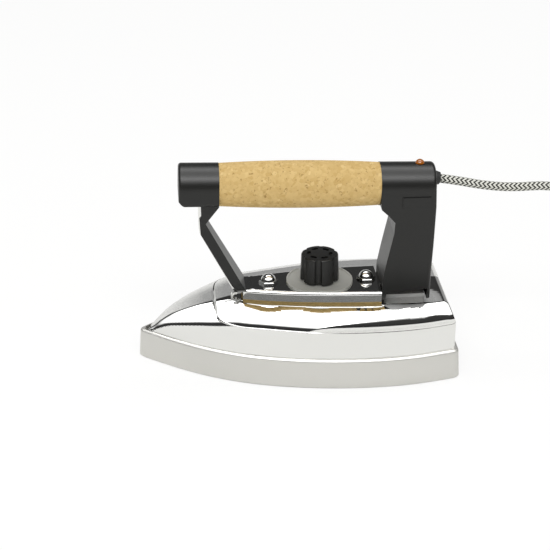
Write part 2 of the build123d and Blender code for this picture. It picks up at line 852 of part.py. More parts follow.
# Cork grip: barrel turned on the handle's axis
grip_axis = on_axis(0)
profile_plane = Plane(origin=grip_axis.origin, x_dir=grip_axis.z_dir, z_dir=(0, -1, 0))
with BuildPart() as cork_grip:
    with BuildSketch(profile_plane):
        with BuildLine():
            Line((cap_length, grip_tube_diameter / 2), (cap_length, cork_end_radius))
            ThreePointArc((cap_length, cork_end_radius),
                          ((cap_length + collar_start) / 2, cork_belly_radius),
                          (collar_start, cork_end_radius))
            Line((collar_start, cork_end_radius), (collar_start, grip_tube_diameter / 2))
            Line((collar_start, grip_tube_diameter / 2), (cap_length, grip_tube_diameter / 2))
        make_face()
    revolve(axis=Axis(grip_axis.origin, grip_axis.z_dir))
save(cork_grip, "cork_grip")

# Rear post: form of the outside, cut into the moulding and its rear cover
collar_length = handle_rear_x - handle_front_x - collar_start
with BuildPart() as post_block:
    with BuildSketch(Plane.XZ):
        Polygon(*post_front, *post_rear, (post_front[0][0], axis_height(post_front[0][0])),
                align=None)
    extrude(amount=post_width / 2, both=True)
    rear_edges = post_block.edges().filter_by_position(Axis.X, post_rear[0][0], post_rear[3][0])
    fillet(rear_edges.group_by(Axis.Y)[0] + rear_edges.group_by(Axis.Y)[-1], post_edge_radius)
with BuildPart() as post_form:
    with BuildSketch(on_axis(collar_start)):
        Circle(collar_radius)
    extrude(amount=collar_length)
    fillet(post_form.faces().sort_by(Axis.X)[-1].edges(), collar_round)
    add(post_block.part)

rear_line = post_rear + [(handle_rear_x, axis_rear_z + collar_radius + overrun)]
cover_line = [(x - cover_thickness, z) for x, z in rear_line]
with BuildPart() as rear_slab:
    with BuildSketch(Plane.XZ):
        Polygon(*cover_line, *[(x + overrun, z) for x, z in reversed(rear_line)], align=None)
    extrude(amount=post_width, both=True)

# The sleeve's line through the cover, which the cord follows inside
cord_exit = Vector(*lead_points[0])
sleeve_back = (cord_exit - Vector(*lead_points[1])).normalized()
sleeve_plane = Plane(origin=cord_exit, x_dir=(0, 1, 0), z_dir=sleeve_back)

inner_half = post_width / 2 - post_wall
boss_start = post_rear[1][0] - cover_thickness - boss_length
screw_places = [(y, z) for y in (-cover_screw_y, cover_screw_y)
                for z in (cover_screw_low, cover_screw_high)]
with BuildPart() as rear_post:
    add(post_form.part)
    add(rear_slab.part, mode=Mode.SUBTRACT)
    with BuildSketch(Plane.XZ):
        Polygon((rib_front, rib_low), (rib_rear, rib_low), (rib_rear, rib_high),
                (rib_front, rib_high), align=None)
    extrude(amount=post_width / 2 + rib_proud, both=True)
    with BuildSketch(Plane.XZ):
        Polygon(*post_front, *post_rear, (post_front[0][0], axis_height(post_front[0][0])),
                align=None)
        offset(amount=-post_wall, kind=Kind.INTERSECTION)
    extrude(amount=inner_half, both=True, mode=Mode.SUBTRACT)
    with BuildSketch(Plane.XZ):
        Polygon((post_rear[0][0] - 2 * post_wall, post_bottom - overrun),
                (handle_rear_x - 2 * post_wall, axis_rear_z),
                (handle_rear_x + overrun, axis_rear_z),
                (handle_rear_x + overrun, post_bottom - overrun), align=None)
    extrude(amount=inner_half, both=True, mode=Mode.SUBTRACT)
    with BuildSketch(Plane.XY.offset(post_bottom - overrun)):
        with Locations(((tray_rear + post_rear[0][0]) / 2, 0)):
            Rectangle(post_rear[0][0] - tray_rear, 2 * inner_half)
    extrude(amount=tray_top + fit_gap - post_bottom + overrun, mode=Mode.SUBTRACT)
    with BuildSketch(Plane.XZ):
        Polygon((post_foot_rear, post_bottom - overrun), (post_foot_rear, post_side_low),
                (handle_rear_x, post_side_high), (handle_rear_x, post_bottom - overrun),
                align=None)
    extrude(amount=post_width, both=True, mode=Mode.SUBTRACT)
    with BuildSketch(on_axis(collar_start + post_bulkhead)):
        Circle(collar_radius - post_wall)
    extrude(amount=collar_length, mode=Mode.SUBTRACT)
    with BuildSketch(on_axis(collar_start - overrun)):
        Circle(rod_hole / 2)
    extrude(amount=2 * overrun + post_bulkhead, mode=Mode.SUBTRACT)
    with BuildSketch(Plane.YZ.offset(boss_start)):
        with Locations(*[((inner_half - boss_depth / 2) * (1 if y > 0 else -1), z)
                         for y, z in screw_places]):
            Rectangle(boss_depth, boss_height)
    extrude(amount=boss_length + cover_thickness)
    add(rear_slab.part, mode=Mode.SUBTRACT)
    with BuildSketch(Plane.YZ.offset(boss_start)):
        with Locations(*screw_places):
            Circle(cover_screw_diameter / 2)
    extrude(amount=boss_length + overrun, mode=Mode.SUBTRACT)
    with BuildSketch(Plane.XY.offset(axis_height(lamp_x))):
        with Locations((lamp_x, 0)):
            Circle(lamp_stem_diameter / 2)
    extrude(amount=collar_radius + overrun, mode=Mode.SUBTRACT)
save(rear_post, "rear_post")

# Rear cover: the slice behind the post, bored for the sleeve and its sunk screws
screw_faces = [post_rear[1][0] if screw_z < clamp_z else post_rear[3][0]
               for screw_y, screw_z in screw_places]
with BuildPart() as rear_cover:
    add(post_form.part)
    add(rear_slab.part, mode=Mode.INTERSECT)
    with BuildSketch(sleeve_plane):
        Circle(sleeve_root_radius + fit_gap)
    extrude(amount=sleeve_out + sleeve_in, mode=Mode.SUBTRACT)
    with BuildSketch(Plane.YZ.offset(boss_start)):
        with Locations(*screw_places):
            Circle(cover_screw_diameter / 2)
    extrude(amount=boss_length + overrun, mode=Mode.SUBTRACT)
    for place, face_x in zip(screw_places, screw_faces):
        with BuildSketch(Plane.YZ.offset(face_x - cover_screw_height)):
            with Locations(place):
                Circle(cover_screw_head / 2 + fit_gap)
        extrude(amount=overrun, mode=Mode.SUBTRACT)
save(rear_cover, "rear_cover")

# Cover screws: shanks in the bosses, heads flush with the cover
with BuildPart() as cover_screws:
    for place, face_x in zip(screw_places, screw_faces):
        with BuildSketch(Plane.YZ.offset(face_x - cover_screw_height)):
            with Locations(place):
                Circle(cover_screw_head / 2)
        extrude(amount=cover_screw_height)
        with BuildSketch(Plane.YZ.offset(face_x - cover_screw_height)):
            with Locations(place):
                Circle(cover_screw_diameter / 2)
        extrude(amount=-cover_screw_length)
save(cover_screws, "cover_screws")

# Rubber sleeve where the cord leaves the cover
with BuildPart() as cord_sleeve:
    with BuildSketch(sleeve_plane):
        Circle(sleeve_tip_radius)
    with BuildSketch(sleeve_plane.offset(sleeve_out)):
        Circle(sleeve_root_radius)
    loft()
    with BuildSketch(sleeve_plane.offset(sleeve_out)):
        Circle(sleeve_root_radius)
    extrude(amount=sleeve_in)
    with BuildSketch(sleeve_plane):
        Circle(cord_radius)
    extrude(amount=sleeve_out + sleeve_in, mode=Mode.SUBTRACT)
save(cord_sleeve, "cord_sleeve")

# Cord inside the post, from the sleeve down behind the tongue
inner_cord_x = tongue_x + frame_sheet / 2 + cord_radius + fit_gap
inner_corner = cord_exit + sleeve_back * ((inner_cord_x - cord_exit.X) / sleeve_back.X)
with BuildPart() as inner_cord:
    add(rod_between([tuple(cord_exit), tuple(inner_corner), (inner_cord_x, 0, inner_cord_end)],
                    inner_cord_bend, cord_diameter))
save(inner_cord, "inner_cord")

# Clamp bar over the inner cord, screwed to the tongue
clamp_front = tongue_x + frame_sheet / 2
clamp_depth = cord_diameter + fit_gap + clamp_thickness
clamp_half = clamp_screw_y + clamp_screw_head / 2
with BuildPart() as cord_clamp:
    with BuildSketch(Plane.YZ.offset(clamp_front)):
        with Locations((0, clamp_z)):
            Rectangle(2 * clamp_half, clamp_height)
    extrude(amount=clamp_depth)
    with BuildSketch(Plane.YZ.offset(clamp_front)):
        with Locations((0, clamp_z)):
            Rectangle(cord_diameter + 2 * fit_gap, clamp_height)
    extrude(amount=cord_radius + fit_gap, mode=Mode.SUBTRACT)
    with BuildSketch(Plane.XY.offset(clamp_z - clamp_height)):
        with Locations((inner_cord_x, 0)):
            Circle(cord_radius + fit_gap)
    extrude(amount=2 * clamp_height, mode=Mode.SUBTRACT)
    with BuildSketch(Plane.YZ.offset(clamp_front)):
        with Locations((-clamp_screw_y, clamp_z), (clamp_screw_y, clamp_z)):
            Circle(clamp_screw_diameter / 2)
    extrude(amount=clamp_depth, mode=Mode.SUBTRACT)
save(cord_clamp, "cord_clamp")

with BuildPart() as clamp_screws:
    with BuildSketch(Plane.YZ.offset(clamp_front)):
        with Locations((-clamp_screw_y, clamp_z), (clamp_screw_y, clamp_z)):
            Circle(clamp_screw_diameter / 2)
    extrude(amount=clamp_depth)
    with BuildSketch(Plane.YZ.offset(clamp_front + clamp_depth)):
        with Locations((-clamp_screw_y, clamp_z), (clamp_screw_y, clamp_z)):
            Circle(clamp_screw_head / 2)
    extrude(amount=clamp_screw_height)
save(clamp_screws, "clamp_screws")

# Terminal block on the tongue, with its two screws
pole_places = [(-block_pitch / 2, block_z), (block_pitch / 2, block_z)]
with BuildPart() as terminal_block:
    with BuildSketch(Plane.YZ.offset(clamp_front)):
        with Locations((0, block_z)):
            Rectangle(block_width, block_height)
    extrude(amount=block_length)
    with BuildSketch(Plane.YZ.offset(clamp_front + block_length - block_screw_length)):
        with Locations(*pole_places):
            Circle(block_screw_diameter / 2)
    extrude(amount=block_length, mode=Mode.SUBTRACT)
save(terminal_block, "terminal_block")

with BuildPart() as block_screws:
    with BuildSketch(Plane.YZ.offset(clamp_front + block_length - block_screw_length)):
        with Locations(*pole_places):
            Circle(block_screw_diameter / 2)
    extrude(amount=block_screw_length)
save(block_screws, "block_screws")

# Earth ring and its screw on the tongue
with BuildPart() as earth_ring:
    with BuildSketch(Plane.YZ.offset(clamp_front)):
        with Locations((0, earth_z)):
            Circle(earth_ring_diameter / 2)
            Circle(earth_screw_diameter / 2, mode=Mode.SUBTRACT)
    extrude(amount=earth_ring_thickness)
save(earth_ring, "earth_ring")

with BuildPart() as earth_screw:
    with BuildSketch(Plane.YZ.offset(clamp_front)):
        with Locations((0, earth_z)):
            Circle(earth_screw_diameter / 2)
    extrude(amount=earth_ring_thickness)
    with BuildSketch(Plane.YZ.offset(clamp_front + earth_ring_thickness)):
        with Locations((0, earth_z)):
            Circle(earth_screw_head / 2)
    extrude(amount=earth_screw_height)
save(earth_screw, "earth_screw")

# Wires from the inner cord to the block and the earth ring
block_top = block_z + block_height / 2
block_under = block_z - block_height / 2
pole_x = clamp_front + block_length / 2
with BuildPart() as lead_wires:
    for side in (-1, 1):
        start_y = side * wire_ring
        end_y = side * block_pitch / 2
        drop = (inner_cord_end - block_top) / 3
        add(rod_between([(inner_cord_x, start_y, inner_cord_end),
                         (inner_cord_x, start_y, inner_cord_end - drop),
                         (pole_x, end_y, block_top + drop),
                         (pole_x, end_y, block_top)], wire_bend, wire_diameter))
save(lead_wires, "lead_wires")

with BuildPart() as earth_wire:
    with BuildSketch(Plane.XY.offset(inner_cord_end)):
        with Locations((clamp_front + wire_diameter / 2 + fit_gap, 0)):
            Circle(wire_diameter / 2)
    extrude(amount=earth_z + earth_ring_diameter / 2 - inner_cord_end)
save(earth_wire, "earth_wire")

# Wires from the block down through the hood to the element and the thermostat
pin_z = element_riser_top + bead_length + terminal_length / 2
pin_reach = element_riser_y - terminal_diameter / 2
pillar_x = dial_x - pillar_reach
leaf_tail_x = pillar_x - leaf_tail + wire_diameter / 2
leaf_side_y = leaf_width / 2 + fit_gap
wire_bend_z = block_under - 2 * wire_bend
wire_lane_y = bracket_width / 2 + wire_diameter


def drop_points(side):
    """Start of a wire: out of the block, and down through the hood's hole."""
    return [(pole_x, side * block_pitch / 2, block_under),
            (pole_x, side * block_pitch / 2, wire_bend_z),
            (wire_hole_x, side * 2 * wire_ring, wire_bend_z - wire_bend),
            (wire_hole_x, side * 2 * wire_ring, pin_z)]


with BuildPart() as neutral_wire:
    add(rod_between(drop_points(1) + [(element_riser_x, pin_reach, pin_z)],
                    wire_bend, wire_diameter))
save(neutral_wire, "neutral_wire")

live_z = upper_leaf_z + leaf_thickness / 2
with BuildPart() as live_wire:
    add(rod_between(drop_points(-1) + [
        (stud_rear_x + spacer_diameter, -wire_lane_y, pin_z - wire_bend),
        (dial_x + spacer_diameter, -wire_lane_y, live_z + wire_bend),
        (leaf_tail_x, -wire_lane_y, live_z),
        (leaf_tail_x, -leaf_side_y, live_z)], wire_bend, wire_diameter))
save(live_wire, "live_wire")

load_z = contact_leaf_z + leaf_thickness / 2
with BuildPart() as load_wire:
    add(rod_between([
        (leaf_tail_x, -leaf_side_y, load_z),
        (leaf_tail_x, -wire_lane_y - wire_bend, load_z),
        (dial_x + spacer_diameter, -window_width / 2, load_z + wire_bend),
        (stud_rear_x + spacer_diameter, -element_riser_y + spacer_diameter, pin_z - wire_bend),
        (element_riser_x, spacer_diameter - pin_reach, pin_z),
        (element_riser_x, -pin_reach, pin_z)], wire_bend, wire_diameter))
save(load_wire, "load_wire")

# Signal lamp: bulb inside an amber lens in the collar's crest
lens_seat = axis_height(lamp_x) + collar_radius
lens_top = lens_seat + fit_gap + lamp_dome_height
bulb_top = lens_top - lamp_dome_wall
lamp_radius = lamp_diameter / 2
lens_sphere = (lamp_radius ** 2 + lamp_dome_height ** 2) / (2 * lamp_dome_height)
lens_angle = math.degrees(math.asin((lens_sphere - lamp_dome_height) / lens_sphere))
with BuildPart() as lamp_lens:
    with BuildSketch(Plane.XZ):
        with BuildLine():
            Line((lamp_x, lens_seat - lamp_stem_length),
                 (lamp_x + lamp_stem_diameter / 2 - running_gap, lens_seat - lamp_stem_length))
            Line((lamp_x + lamp_stem_diameter / 2 - running_gap, lens_seat - lamp_stem_length),
                 (lamp_x + lamp_stem_diameter / 2 - running_gap, lens_seat + fit_gap))
            Line((lamp_x + lamp_stem_diameter / 2 - running_gap, lens_seat + fit_gap),
                 (lamp_x + lamp_radius, lens_seat + fit_gap))
            dome = CenterArc((lamp_x, lens_top - lens_sphere), lens_sphere,
                             lens_angle, quarter_turn - lens_angle)
            Line(dome @ 1, (lamp_x, lens_seat - lamp_stem_length))
        make_face()
    revolve(axis=Axis((lamp_x, 0, 0), (0, 0, 1)))
    with BuildSketch(Plane.XY.offset(lens_seat - lamp_stem_length)):
        with Locations((lamp_x, 0)):
            Circle(lamp_bulb_diameter / 2 + running_gap)
    extrude(amount=bulb_top - lens_seat + lamp_stem_length, mode=Mode.SUBTRACT)
save(lamp_lens, "lamp_lens")

with BuildPart() as lamp_bulb:
    with BuildSketch(Plane.XY.offset(bulb_top - lamp_bulb_length)):
        with Locations((lamp_x, 0)):
            Circle(lamp_bulb_diameter / 2)
    extrude(amount=lamp_bulb_length)
save(lamp_bulb, "lamp_bulb")

# Dial plate on the tray, trimmed to the tray's sides
dial_top = tray_top + dial_thickness
with BuildPart() as dial_plate:
    with BuildSketch(Plane.XY.offset(tray_top)):
        add(tray_outline(-tray_bend_radius / 2, tray_front, tray_rear))
        with Locations((dial_x, 0)):
            Circle(dial_radius, mode=Mode.INTERSECT)
            Circle(bush_diameter / 2, mode=Mode.SUBTRACT)
    extrude(amount=dial_thickness)
    with BuildSketch(Plane.XY.offset(dial_top)):
        add(tray_outline(-tray_bend_radius / 2, tray_front, tray_rear))
        with Locations((dial_x, 0)):
            Circle(dial_radius, mode=Mode.INTERSECT)
            Circle(dial_radius - dial_rim_width, mode=Mode.SUBTRACT)
    extrude(amount=dial_rim_height)
save(dial_plate, "dial_plate")

# Flanged bush through the tray, held by a nut below
bush_foot = tray_under - bush_nut_height
with BuildPart() as dial_bush:
    with BuildSketch(Plane.XY.offset(bush_foot)):
        with Locations((dial_x, 0)):
            Circle(bush_diameter / 2 - running_gap)
    extrude(amount=dial_top - bush_foot)
    with BuildSketch(Plane.XY.offset(dial_top)):
        with Locations((dial_x, 0)):
            Circle(bush_flange_diameter / 2)
    extrude(amount=bush_flange)
    with BuildSketch(Plane.XY.offset(bush_foot)):
        with Locations((dial_x, 0)):
            Circle(spindle_diameter / 2 + running_gap)
    extrude(amount=dial_top + bush_flange - bush_foot, mode=Mode.SUBTRACT)
save(dial_bush, "dial_bush")

with BuildPart() as bush_nut:
    with BuildSketch(Plane.XY.offset(bush_foot)):
        with Locations((dial_x, 0)):
            RegularPolygon(bush_nut_flats / 2, 6, major_radius=False)
            Circle(bush_diameter / 2 - running_gap, mode=Mode.SUBTRACT)
    extrude(amount=bush_nut_height)
save(bush_nut, "bush_nut")

# Knob: tapered body with grooves between its lobes and dimples on top
knob_bottom = dial_top + bush_flange + knob_gap
groove_ring = knob_base_radius - knob_groove_depth + knob_groove_width / 2
spindle_top = knob_bottom + knob_socket_depth
full_turn = 4 * quarter_turn
with BuildPart() as knob:
    with BuildSketch(Plane.XY.offset(knob_bottom)):
        with Locations((dial_x, 0)):
            Circle(knob_base_radius)
    with BuildSketch(Plane.XY.offset(knob_top)):
        with Locations((dial_x, 0)):
            Circle(knob_top_radius)
    loft()
    fillet(knob.faces().sort_by(Axis.Z)[-1].edges(), knob_edge)
    with BuildSketch(Plane.XY.offset(knob_bottom)):
        with Locations((dial_x, 0)):
            with PolarLocations(groove_ring, knob_lobes, start_angle=knob_first_groove_angle):
                Circle(knob_groove_width / 2)
    extrude(amount=knob_top - knob_bottom, mode=Mode.SUBTRACT)
    with BuildSketch(Plane.XY.offset(knob_top - knob_dimple_depth)):
        with Locations((dial_x, 0)):
            with PolarLocations(knob_dimple_ring, knob_lobes,
                                start_angle=knob_first_groove_angle + hexagon_turn):
                SlotOverall(knob_dimple_length, knob_dimple_width, rotation=quarter_turn)
    extrude(amount=knob_dimple_depth + overrun, mode=Mode.SUBTRACT)
    with BuildSketch(Plane.XY.offset(knob_bottom)):
        with Locations((dial_x, 0)):
            Circle(spindle_diameter / 2 + running_gap)
    extrude(amount=knob_socket_depth, mode=Mode.SUBTRACT)
save(knob, "knob")

# Spindle through the bush, with a flat for the knob
tip_top = upper_leaf_z + leaf_thickness + adjuster_rest_gap + adjuster_length
with BuildPart() as spindle:
    with BuildSketch(Plane.XY.offset(tip_top)):
        with Locations((dial_x, 0)):
            Circle(spindle_diameter / 2)
    extrude(amount=spindle_top - tip_top)
    with BuildSketch(Plane.XY.offset(knob_bottom)):
        with Locations((dial_x + spindle_diameter - spindle_flat, 0)):
            Rectangle(spindle_diameter, spindle_diameter)
    extrude(amount=knob_socket_depth, mode=Mode.SUBTRACT)
save(spindle, "spindle")

# Ceramic tip under the spindle
with BuildPart() as adjuster_tip:
    with BuildSketch(Plane.XY.offset(tip_top)):
        with Locations((dial_x, 0)):
            Circle(adjuster_diameter / 2)
    extrude(amount=-adjuster_length)
save(adjuster_tip, "adjuster_tip")

# Thermostat bracket: base on the sole and a bridge round the spindle
bracket_base_top = sole_floor + bracket_sheet
base_screw_places = [(dial_x - base_screw_reach, 0), (dial_x + base_screw_reach, 0)]
with BuildPart() as thermostat_bracket:
    with BuildSketch(Plane.XY.offset(sole_floor)):
        with Locations((dial_x, 0)):
            Rectangle(bracket_length, bracket_width)
        with Locations(*base_screw_places):
            Circle(base_screw_diameter / 2, mode=Mode.SUBTRACT)
        with Locations((pillar_x, 0)):
            Circle(pillar_rivet / 2, mode=Mode.SUBTRACT)
    extrude(amount=bracket_sheet)
    with BuildSketch(Plane.XY.offset(bracket_base_top)):
        with Locations((dial_x, 0)):
            Rectangle(bridge_length, bracket_width)
            Rectangle(bridge_length, bracket_width - 2 * bracket_sheet, mode=Mode.SUBTRACT)
    extrude(amount=bracket_top - bracket_sheet - bracket_base_top)
    with BuildSketch(Plane.XY.offset(bracket_top - bracket_sheet)):
        with Locations((dial_x, 0)):
            Rectangle(bridge_length, bracket_width)
            Circle(spindle_diameter / 2 + running_gap, mode=Mode.SUBTRACT)
    extrude(amount=bracket_sheet)
save(thermostat_bracket, "thermostat_bracket")

with BuildPart() as bracket_screws:
    with BuildSketch(Plane.XY.offset(stud_foot)):
        with Locations(*base_screw_places):
            Circle(base_screw_diameter / 2)
    extrude(amount=bracket_base_top - stud_foot)
    with BuildSketch(Plane.XY.offset(bracket_base_top)):
        with Locations(*base_screw_places):
            Circle(base_screw_head / 2)
    extrude(amount=base_screw_height)
save(bracket_screws, "bracket_screws")

# Ceramic rings that part the leaves, and the rivet that holds the pile
ring_levels = [
    (bracket_base_top, bimetal_z),
    (bimetal_z + leaf_thickness, contact_leaf_z),
    (contact_leaf_z + leaf_thickness, upper_leaf_z),
    (upper_leaf_z + leaf_thickness, upper_leaf_z + leaf_thickness + pillar_cap),
]
with BuildPart() as ceramic_rings:
    for low, high in ring_levels:
        with BuildSketch(Plane.XY.offset(low)):
            with Locations((pillar_x, 0)):
                Circle(pillar_diameter / 2)
                Circle(pillar_rivet / 2, mode=Mode.SUBTRACT)
        extrude(amount=high - low)
save(ceramic_rings, "ceramic_rings")

pile_top = ring_levels[-1][1]
with BuildPart() as pile_rivet:
    with BuildSketch(Plane.XY.offset(sole_floor)):
        with Locations((pillar_x, 0)):
            Circle(pillar_rivet / 2)
    extrude(amount=pile_top - sole_floor)
    with BuildSketch(Plane.XY.offset(pile_top)):
        with Locations((pillar_x, 0)):
            Circle(pillar_diameter / 2)
    extrude(amount=leaf_thickness)
save(pile_rivet, "pile_rivet")


def save_leaf(name, level, tail, contact_side):
    """Leaf clamped in the pile, with a contact above or below its free end."""
    length = leaf_reach + tail
    middle = pillar_x + (leaf_reach - tail) / 2
    contact_x = pillar_x + leaf_reach - contact_diameter
    with BuildPart() as leaf:
        with BuildSketch(Plane.XY.offset(level)):
            with Locations((middle, 0)):
                Rectangle(length, leaf_width)
            with Locations((pillar_x, 0)):
                Circle(pillar_rivet / 2, mode=Mode.SUBTRACT)
        extrude(amount=leaf_thickness)
        if contact_side:
            face = level + leaf_thickness if contact_side > 0 else level
            with BuildSketch(Plane.XY.offset(face)):
                with Locations((contact_x, 0)):
                    Circle(contact_diameter / 2)
            extrude(amount=contact_side * contact_height)
    save(leaf, name)


contact_height = (upper_leaf_z - contact_leaf_z - leaf_thickness) / 2
save_leaf("bimetal_strip", bimetal_z, pillar_diameter / 2, 0)
save_leaf("contact_leaf", contact_leaf_z, leaf_tail, 1)
save_leaf("upper_leaf", upper_leaf_z, leaf_tail, -1)


def arc_radii(points):
    """Radius at each corner that its two runs allow."""
    radii = []
    for before, corner, after in zip(points, points[1:], points[2:]):
        arrive = Vector(*corner) - Vector(*before)
        leave = Vector(*after) - Vector(*corner)
        turn = math.radians(arrive.get_angle(leave))
        radii.append(bend_share * min(arrive.length, leave.length) / math.tan(turn / 2))
    return radii


# Free lead of the cord, from the sleeve down to the coil
lead_radii = arc_radii(lead_points)
print("lead radii", [round(radius) for radius in lead_radii])
with BuildPart() as cord_lead:
    add(rod_between(lead_points, lead_radii, cord_diameter))
save(cord_lead, "cord_lead")
with BuildLine() as lead_line:
    FilletPolyline(*lead_points, radius=lead_radii)
lead_length = sum(edge.length for edge in lead_line.edges())
section = math.pi * cord_radius ** 2
print("lead length", round(lead_length), "volume share",
      round(cord_lead.part.volume / section / lead_length, 4))

# Coil: one tube that winds in and out in layers, climbing where it turns back
lead_end = Vector(*lead_points[-1])
coil_heading = (lead_end - Vector(*lead_points[-2])).normalized()
coil_across = Vector(-coil_heading.Y, coil_heading.X, 0)
coil_start = lead_end + coil_heading * cord_diameter
coil_centre = coil_start + coil_across * coil_radius
coil_plane = Plane(origin=coil_centre, x_dir=coil_across * -1, z_dir=(0, 0, 1))


def climb_half_turn(middle, side, radius, level):
    """Half turn that rises one layer, as two quarter arcs on leaning planes."""
    rise = coil_layer_step / 2
    bow = side * math.hypot(radius, rise)
    reach = side * radius
    diagonal_share = math.sqrt(0.5)
    crest = (middle, bow, level + rise)
    ThreePointArc((middle + reach, 0, level),
                  (middle + reach * diagonal_share, bow * diagonal_share,
                   level + rise * (1 - diagonal_share)), crest)
    ThreePointArc(crest,
                  (middle - reach * diagonal_share, bow * diagonal_share,
                   level + rise * (1 + diagonal_share)),
                  (middle - reach, 0, level + coil_layer_step))


def wind_coil():
    """Half turns of the coil on its own plane, and where the tube ends there."""
    place = coil_radius
    side = 1
    level = 0.0
    narrowing = coil_track_step / 2
    inward = [coil_radius - narrowing * turn for turn in range(coil_half_turns)]
    inner = coil_radius - narrowing * coil_half_turns
    for layer in range(coil_layers):
        tracks = inward if layer % 2 == 0 else inward[::-1]
        if layer and layer % 2 == 0:
            tracks = [coil_radius + narrowing] + inward[1:]
        for radius in tracks:
            middle = place - side * radius
            start = 0 if side > 0 else 2 * quarter_turn
            CenterArc((middle, 0, level), radius, start, 2 * quarter_turn)
            place = middle - side * radius
            side = -side
        if layer < coil_layers - 1:
            radius = inner if layer % 2 == 0 else coil_radius + narrowing
            middle = place - side * radius
            climb_half_turn(middle, side, radius, level)
            place = middle - side * radius
            side = -side
            level += coil_layer_step
    return place, side, level


with BuildLine(coil_plane) as coil_line:
    Line((coil_radius, -cord_diameter, 0), (coil_radius, 0, 0))
    coil_end_x, coil_end_side, coil_end_level = wind_coil()
    Line((coil_end_x, 0, coil_end_level),
         (coil_end_x, coil_end_side * cord_diameter, coil_end_level))
with BuildPart() as cord_coil:
    with BuildSketch(Plane(origin=lead_end, z_dir=coil_heading)):
        Circle(cord_radius)
    sweep(path=coil_line.line)
save(cord_coil, "cord_coil")


def least_self_gap(line, length, spans):
    """Least clear space between turns of the coil, from points along it."""
    pace = length / spans
    places = [tuple(line @ (index / spans)) for index in range(spans + 1)]
    skip = int(coil_radius / pace)
    least = length
    for index, place in enumerate(places):
        for other in places[index + skip:]:
            least = min(least, math.dist(place, other))
    return least - cord_diameter


coil_length = sum(edge.length for edge in coil_line.edges())
coil_spans = int(coil_length / cord_gap_pace)
print("coil gap", round(least_self_gap(coil_line.line, coil_length, coil_spans), 2),
      "length", round(coil_length),
      "volume share", round(cord_coil.part.volume / section / coil_length, 4))

# Tail: from the coil's top layer down to the plug's axis
tail_heading = coil_line.line % 1
tail_start = coil_line.line @ 1
tail_drop = Vector(0, 0, plug_radius - tail_start.Z)
tail_points = [
    tail_start,
    tail_start + tail_heading * tail_run,
    tail_start + tail_heading * (tail_run + tail_slope_run) + tail_drop,
    tail_start + tail_heading * (2 * tail_run + tail_slope_run) + tail_drop,
]
tail_radii = arc_radii([tuple(point) for point in tail_points])
print("tail radii", [round(radius) for radius in tail_radii])
with BuildPart() as cord_tail:
    add(rod_between(tail_points, tail_radii, cord_diameter))
save(cord_tail, "cord_tail")

# Plug lying on the table: neck, body with a recessed face, and two round pins
plug_plane = Plane(origin=tail_points[-1], x_dir=(0, 0, 1), z_dir=tail_heading)
with BuildPart() as plug_body:
    with BuildSketch(plug_plane):
        Circle(plug_neck_radius)
    with BuildSketch(plug_plane.offset(plug_neck_length)):
        Circle(plug_radius)
    loft()
    with BuildSketch(plug_plane.offset(plug_neck_length)):
        Circle(plug_radius)
    extrude(amount=plug_body_length)
    fillet(plug_body.faces().sort_by(Axis(tuple(tail_points[-1]), tuple(tail_heading)))[-1].edges(),
           plug_edge)
save(plug_body, "plug_body")

plug_face = plug_plane.offset(plug_neck_length + plug_body_length)
with BuildPart() as plug_pins:
    with BuildSketch(plug_face):
        with Locations((0, plug_pin_spacing / 2), (0, -plug_pin_spacing / 2)):
            Circle(plug_pin_diameter / 2)
    extrude(amount=plug_pin_length)
save(plug_pins, "plug_pins")
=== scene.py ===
import math
import bpy
import bmesh
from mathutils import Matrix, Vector


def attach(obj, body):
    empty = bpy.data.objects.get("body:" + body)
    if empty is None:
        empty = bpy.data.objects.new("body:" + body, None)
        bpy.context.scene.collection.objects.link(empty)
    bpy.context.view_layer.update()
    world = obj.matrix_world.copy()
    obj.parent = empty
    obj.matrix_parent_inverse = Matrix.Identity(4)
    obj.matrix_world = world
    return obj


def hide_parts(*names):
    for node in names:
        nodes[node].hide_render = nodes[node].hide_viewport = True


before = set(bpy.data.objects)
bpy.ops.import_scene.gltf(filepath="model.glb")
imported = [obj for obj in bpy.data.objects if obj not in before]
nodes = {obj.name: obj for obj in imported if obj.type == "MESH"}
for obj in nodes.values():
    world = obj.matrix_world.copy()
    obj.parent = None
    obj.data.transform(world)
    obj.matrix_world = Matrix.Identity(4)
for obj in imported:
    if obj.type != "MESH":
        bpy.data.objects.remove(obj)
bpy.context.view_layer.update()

mm = 0.001

# camera, fitted to the photo: millimetres, but the far limit in metres
cameraSettings = {"place": (-90.6, -943.5, 526.4), "target": (-13.47, 0.0, 57.48),
                  "lens": 101.44, "sensor": 36, "farLimit": 20}
cameraData = bpy.data.cameras.new("camera")
cameraData.lens = cameraSettings["lens"]
cameraData.sensor_width = cameraSettings["sensor"]
cameraData.clip_end = cameraSettings["farLimit"]
camera = bpy.data.objects.new("camera", cameraData)
camera.location = Vector(cameraSettings["place"]) * mm
lookAt = Vector(cameraSettings["target"]) * mm - camera.location
camera.rotation_euler = lookAt.to_track_quat("-Z", "Y").to_euler()
bpy.context.scene.collection.objects.link(camera)
bpy.context.scene.camera = camera
bpy.context.scene.view_settings.view_transform = "Standard"
print("camera placed")


# small helpers
def hexColor(code):  # sRGB hex to the linear colour that a shader takes
    parts = [int(code[i:i + 2], 16) / 255 for i in (1, 3, 5)]
    return [p / 12.92 if p <= 0.04045 else ((p + 0.055) / 1.055) ** 2.4 for p in parts] + [1.0]


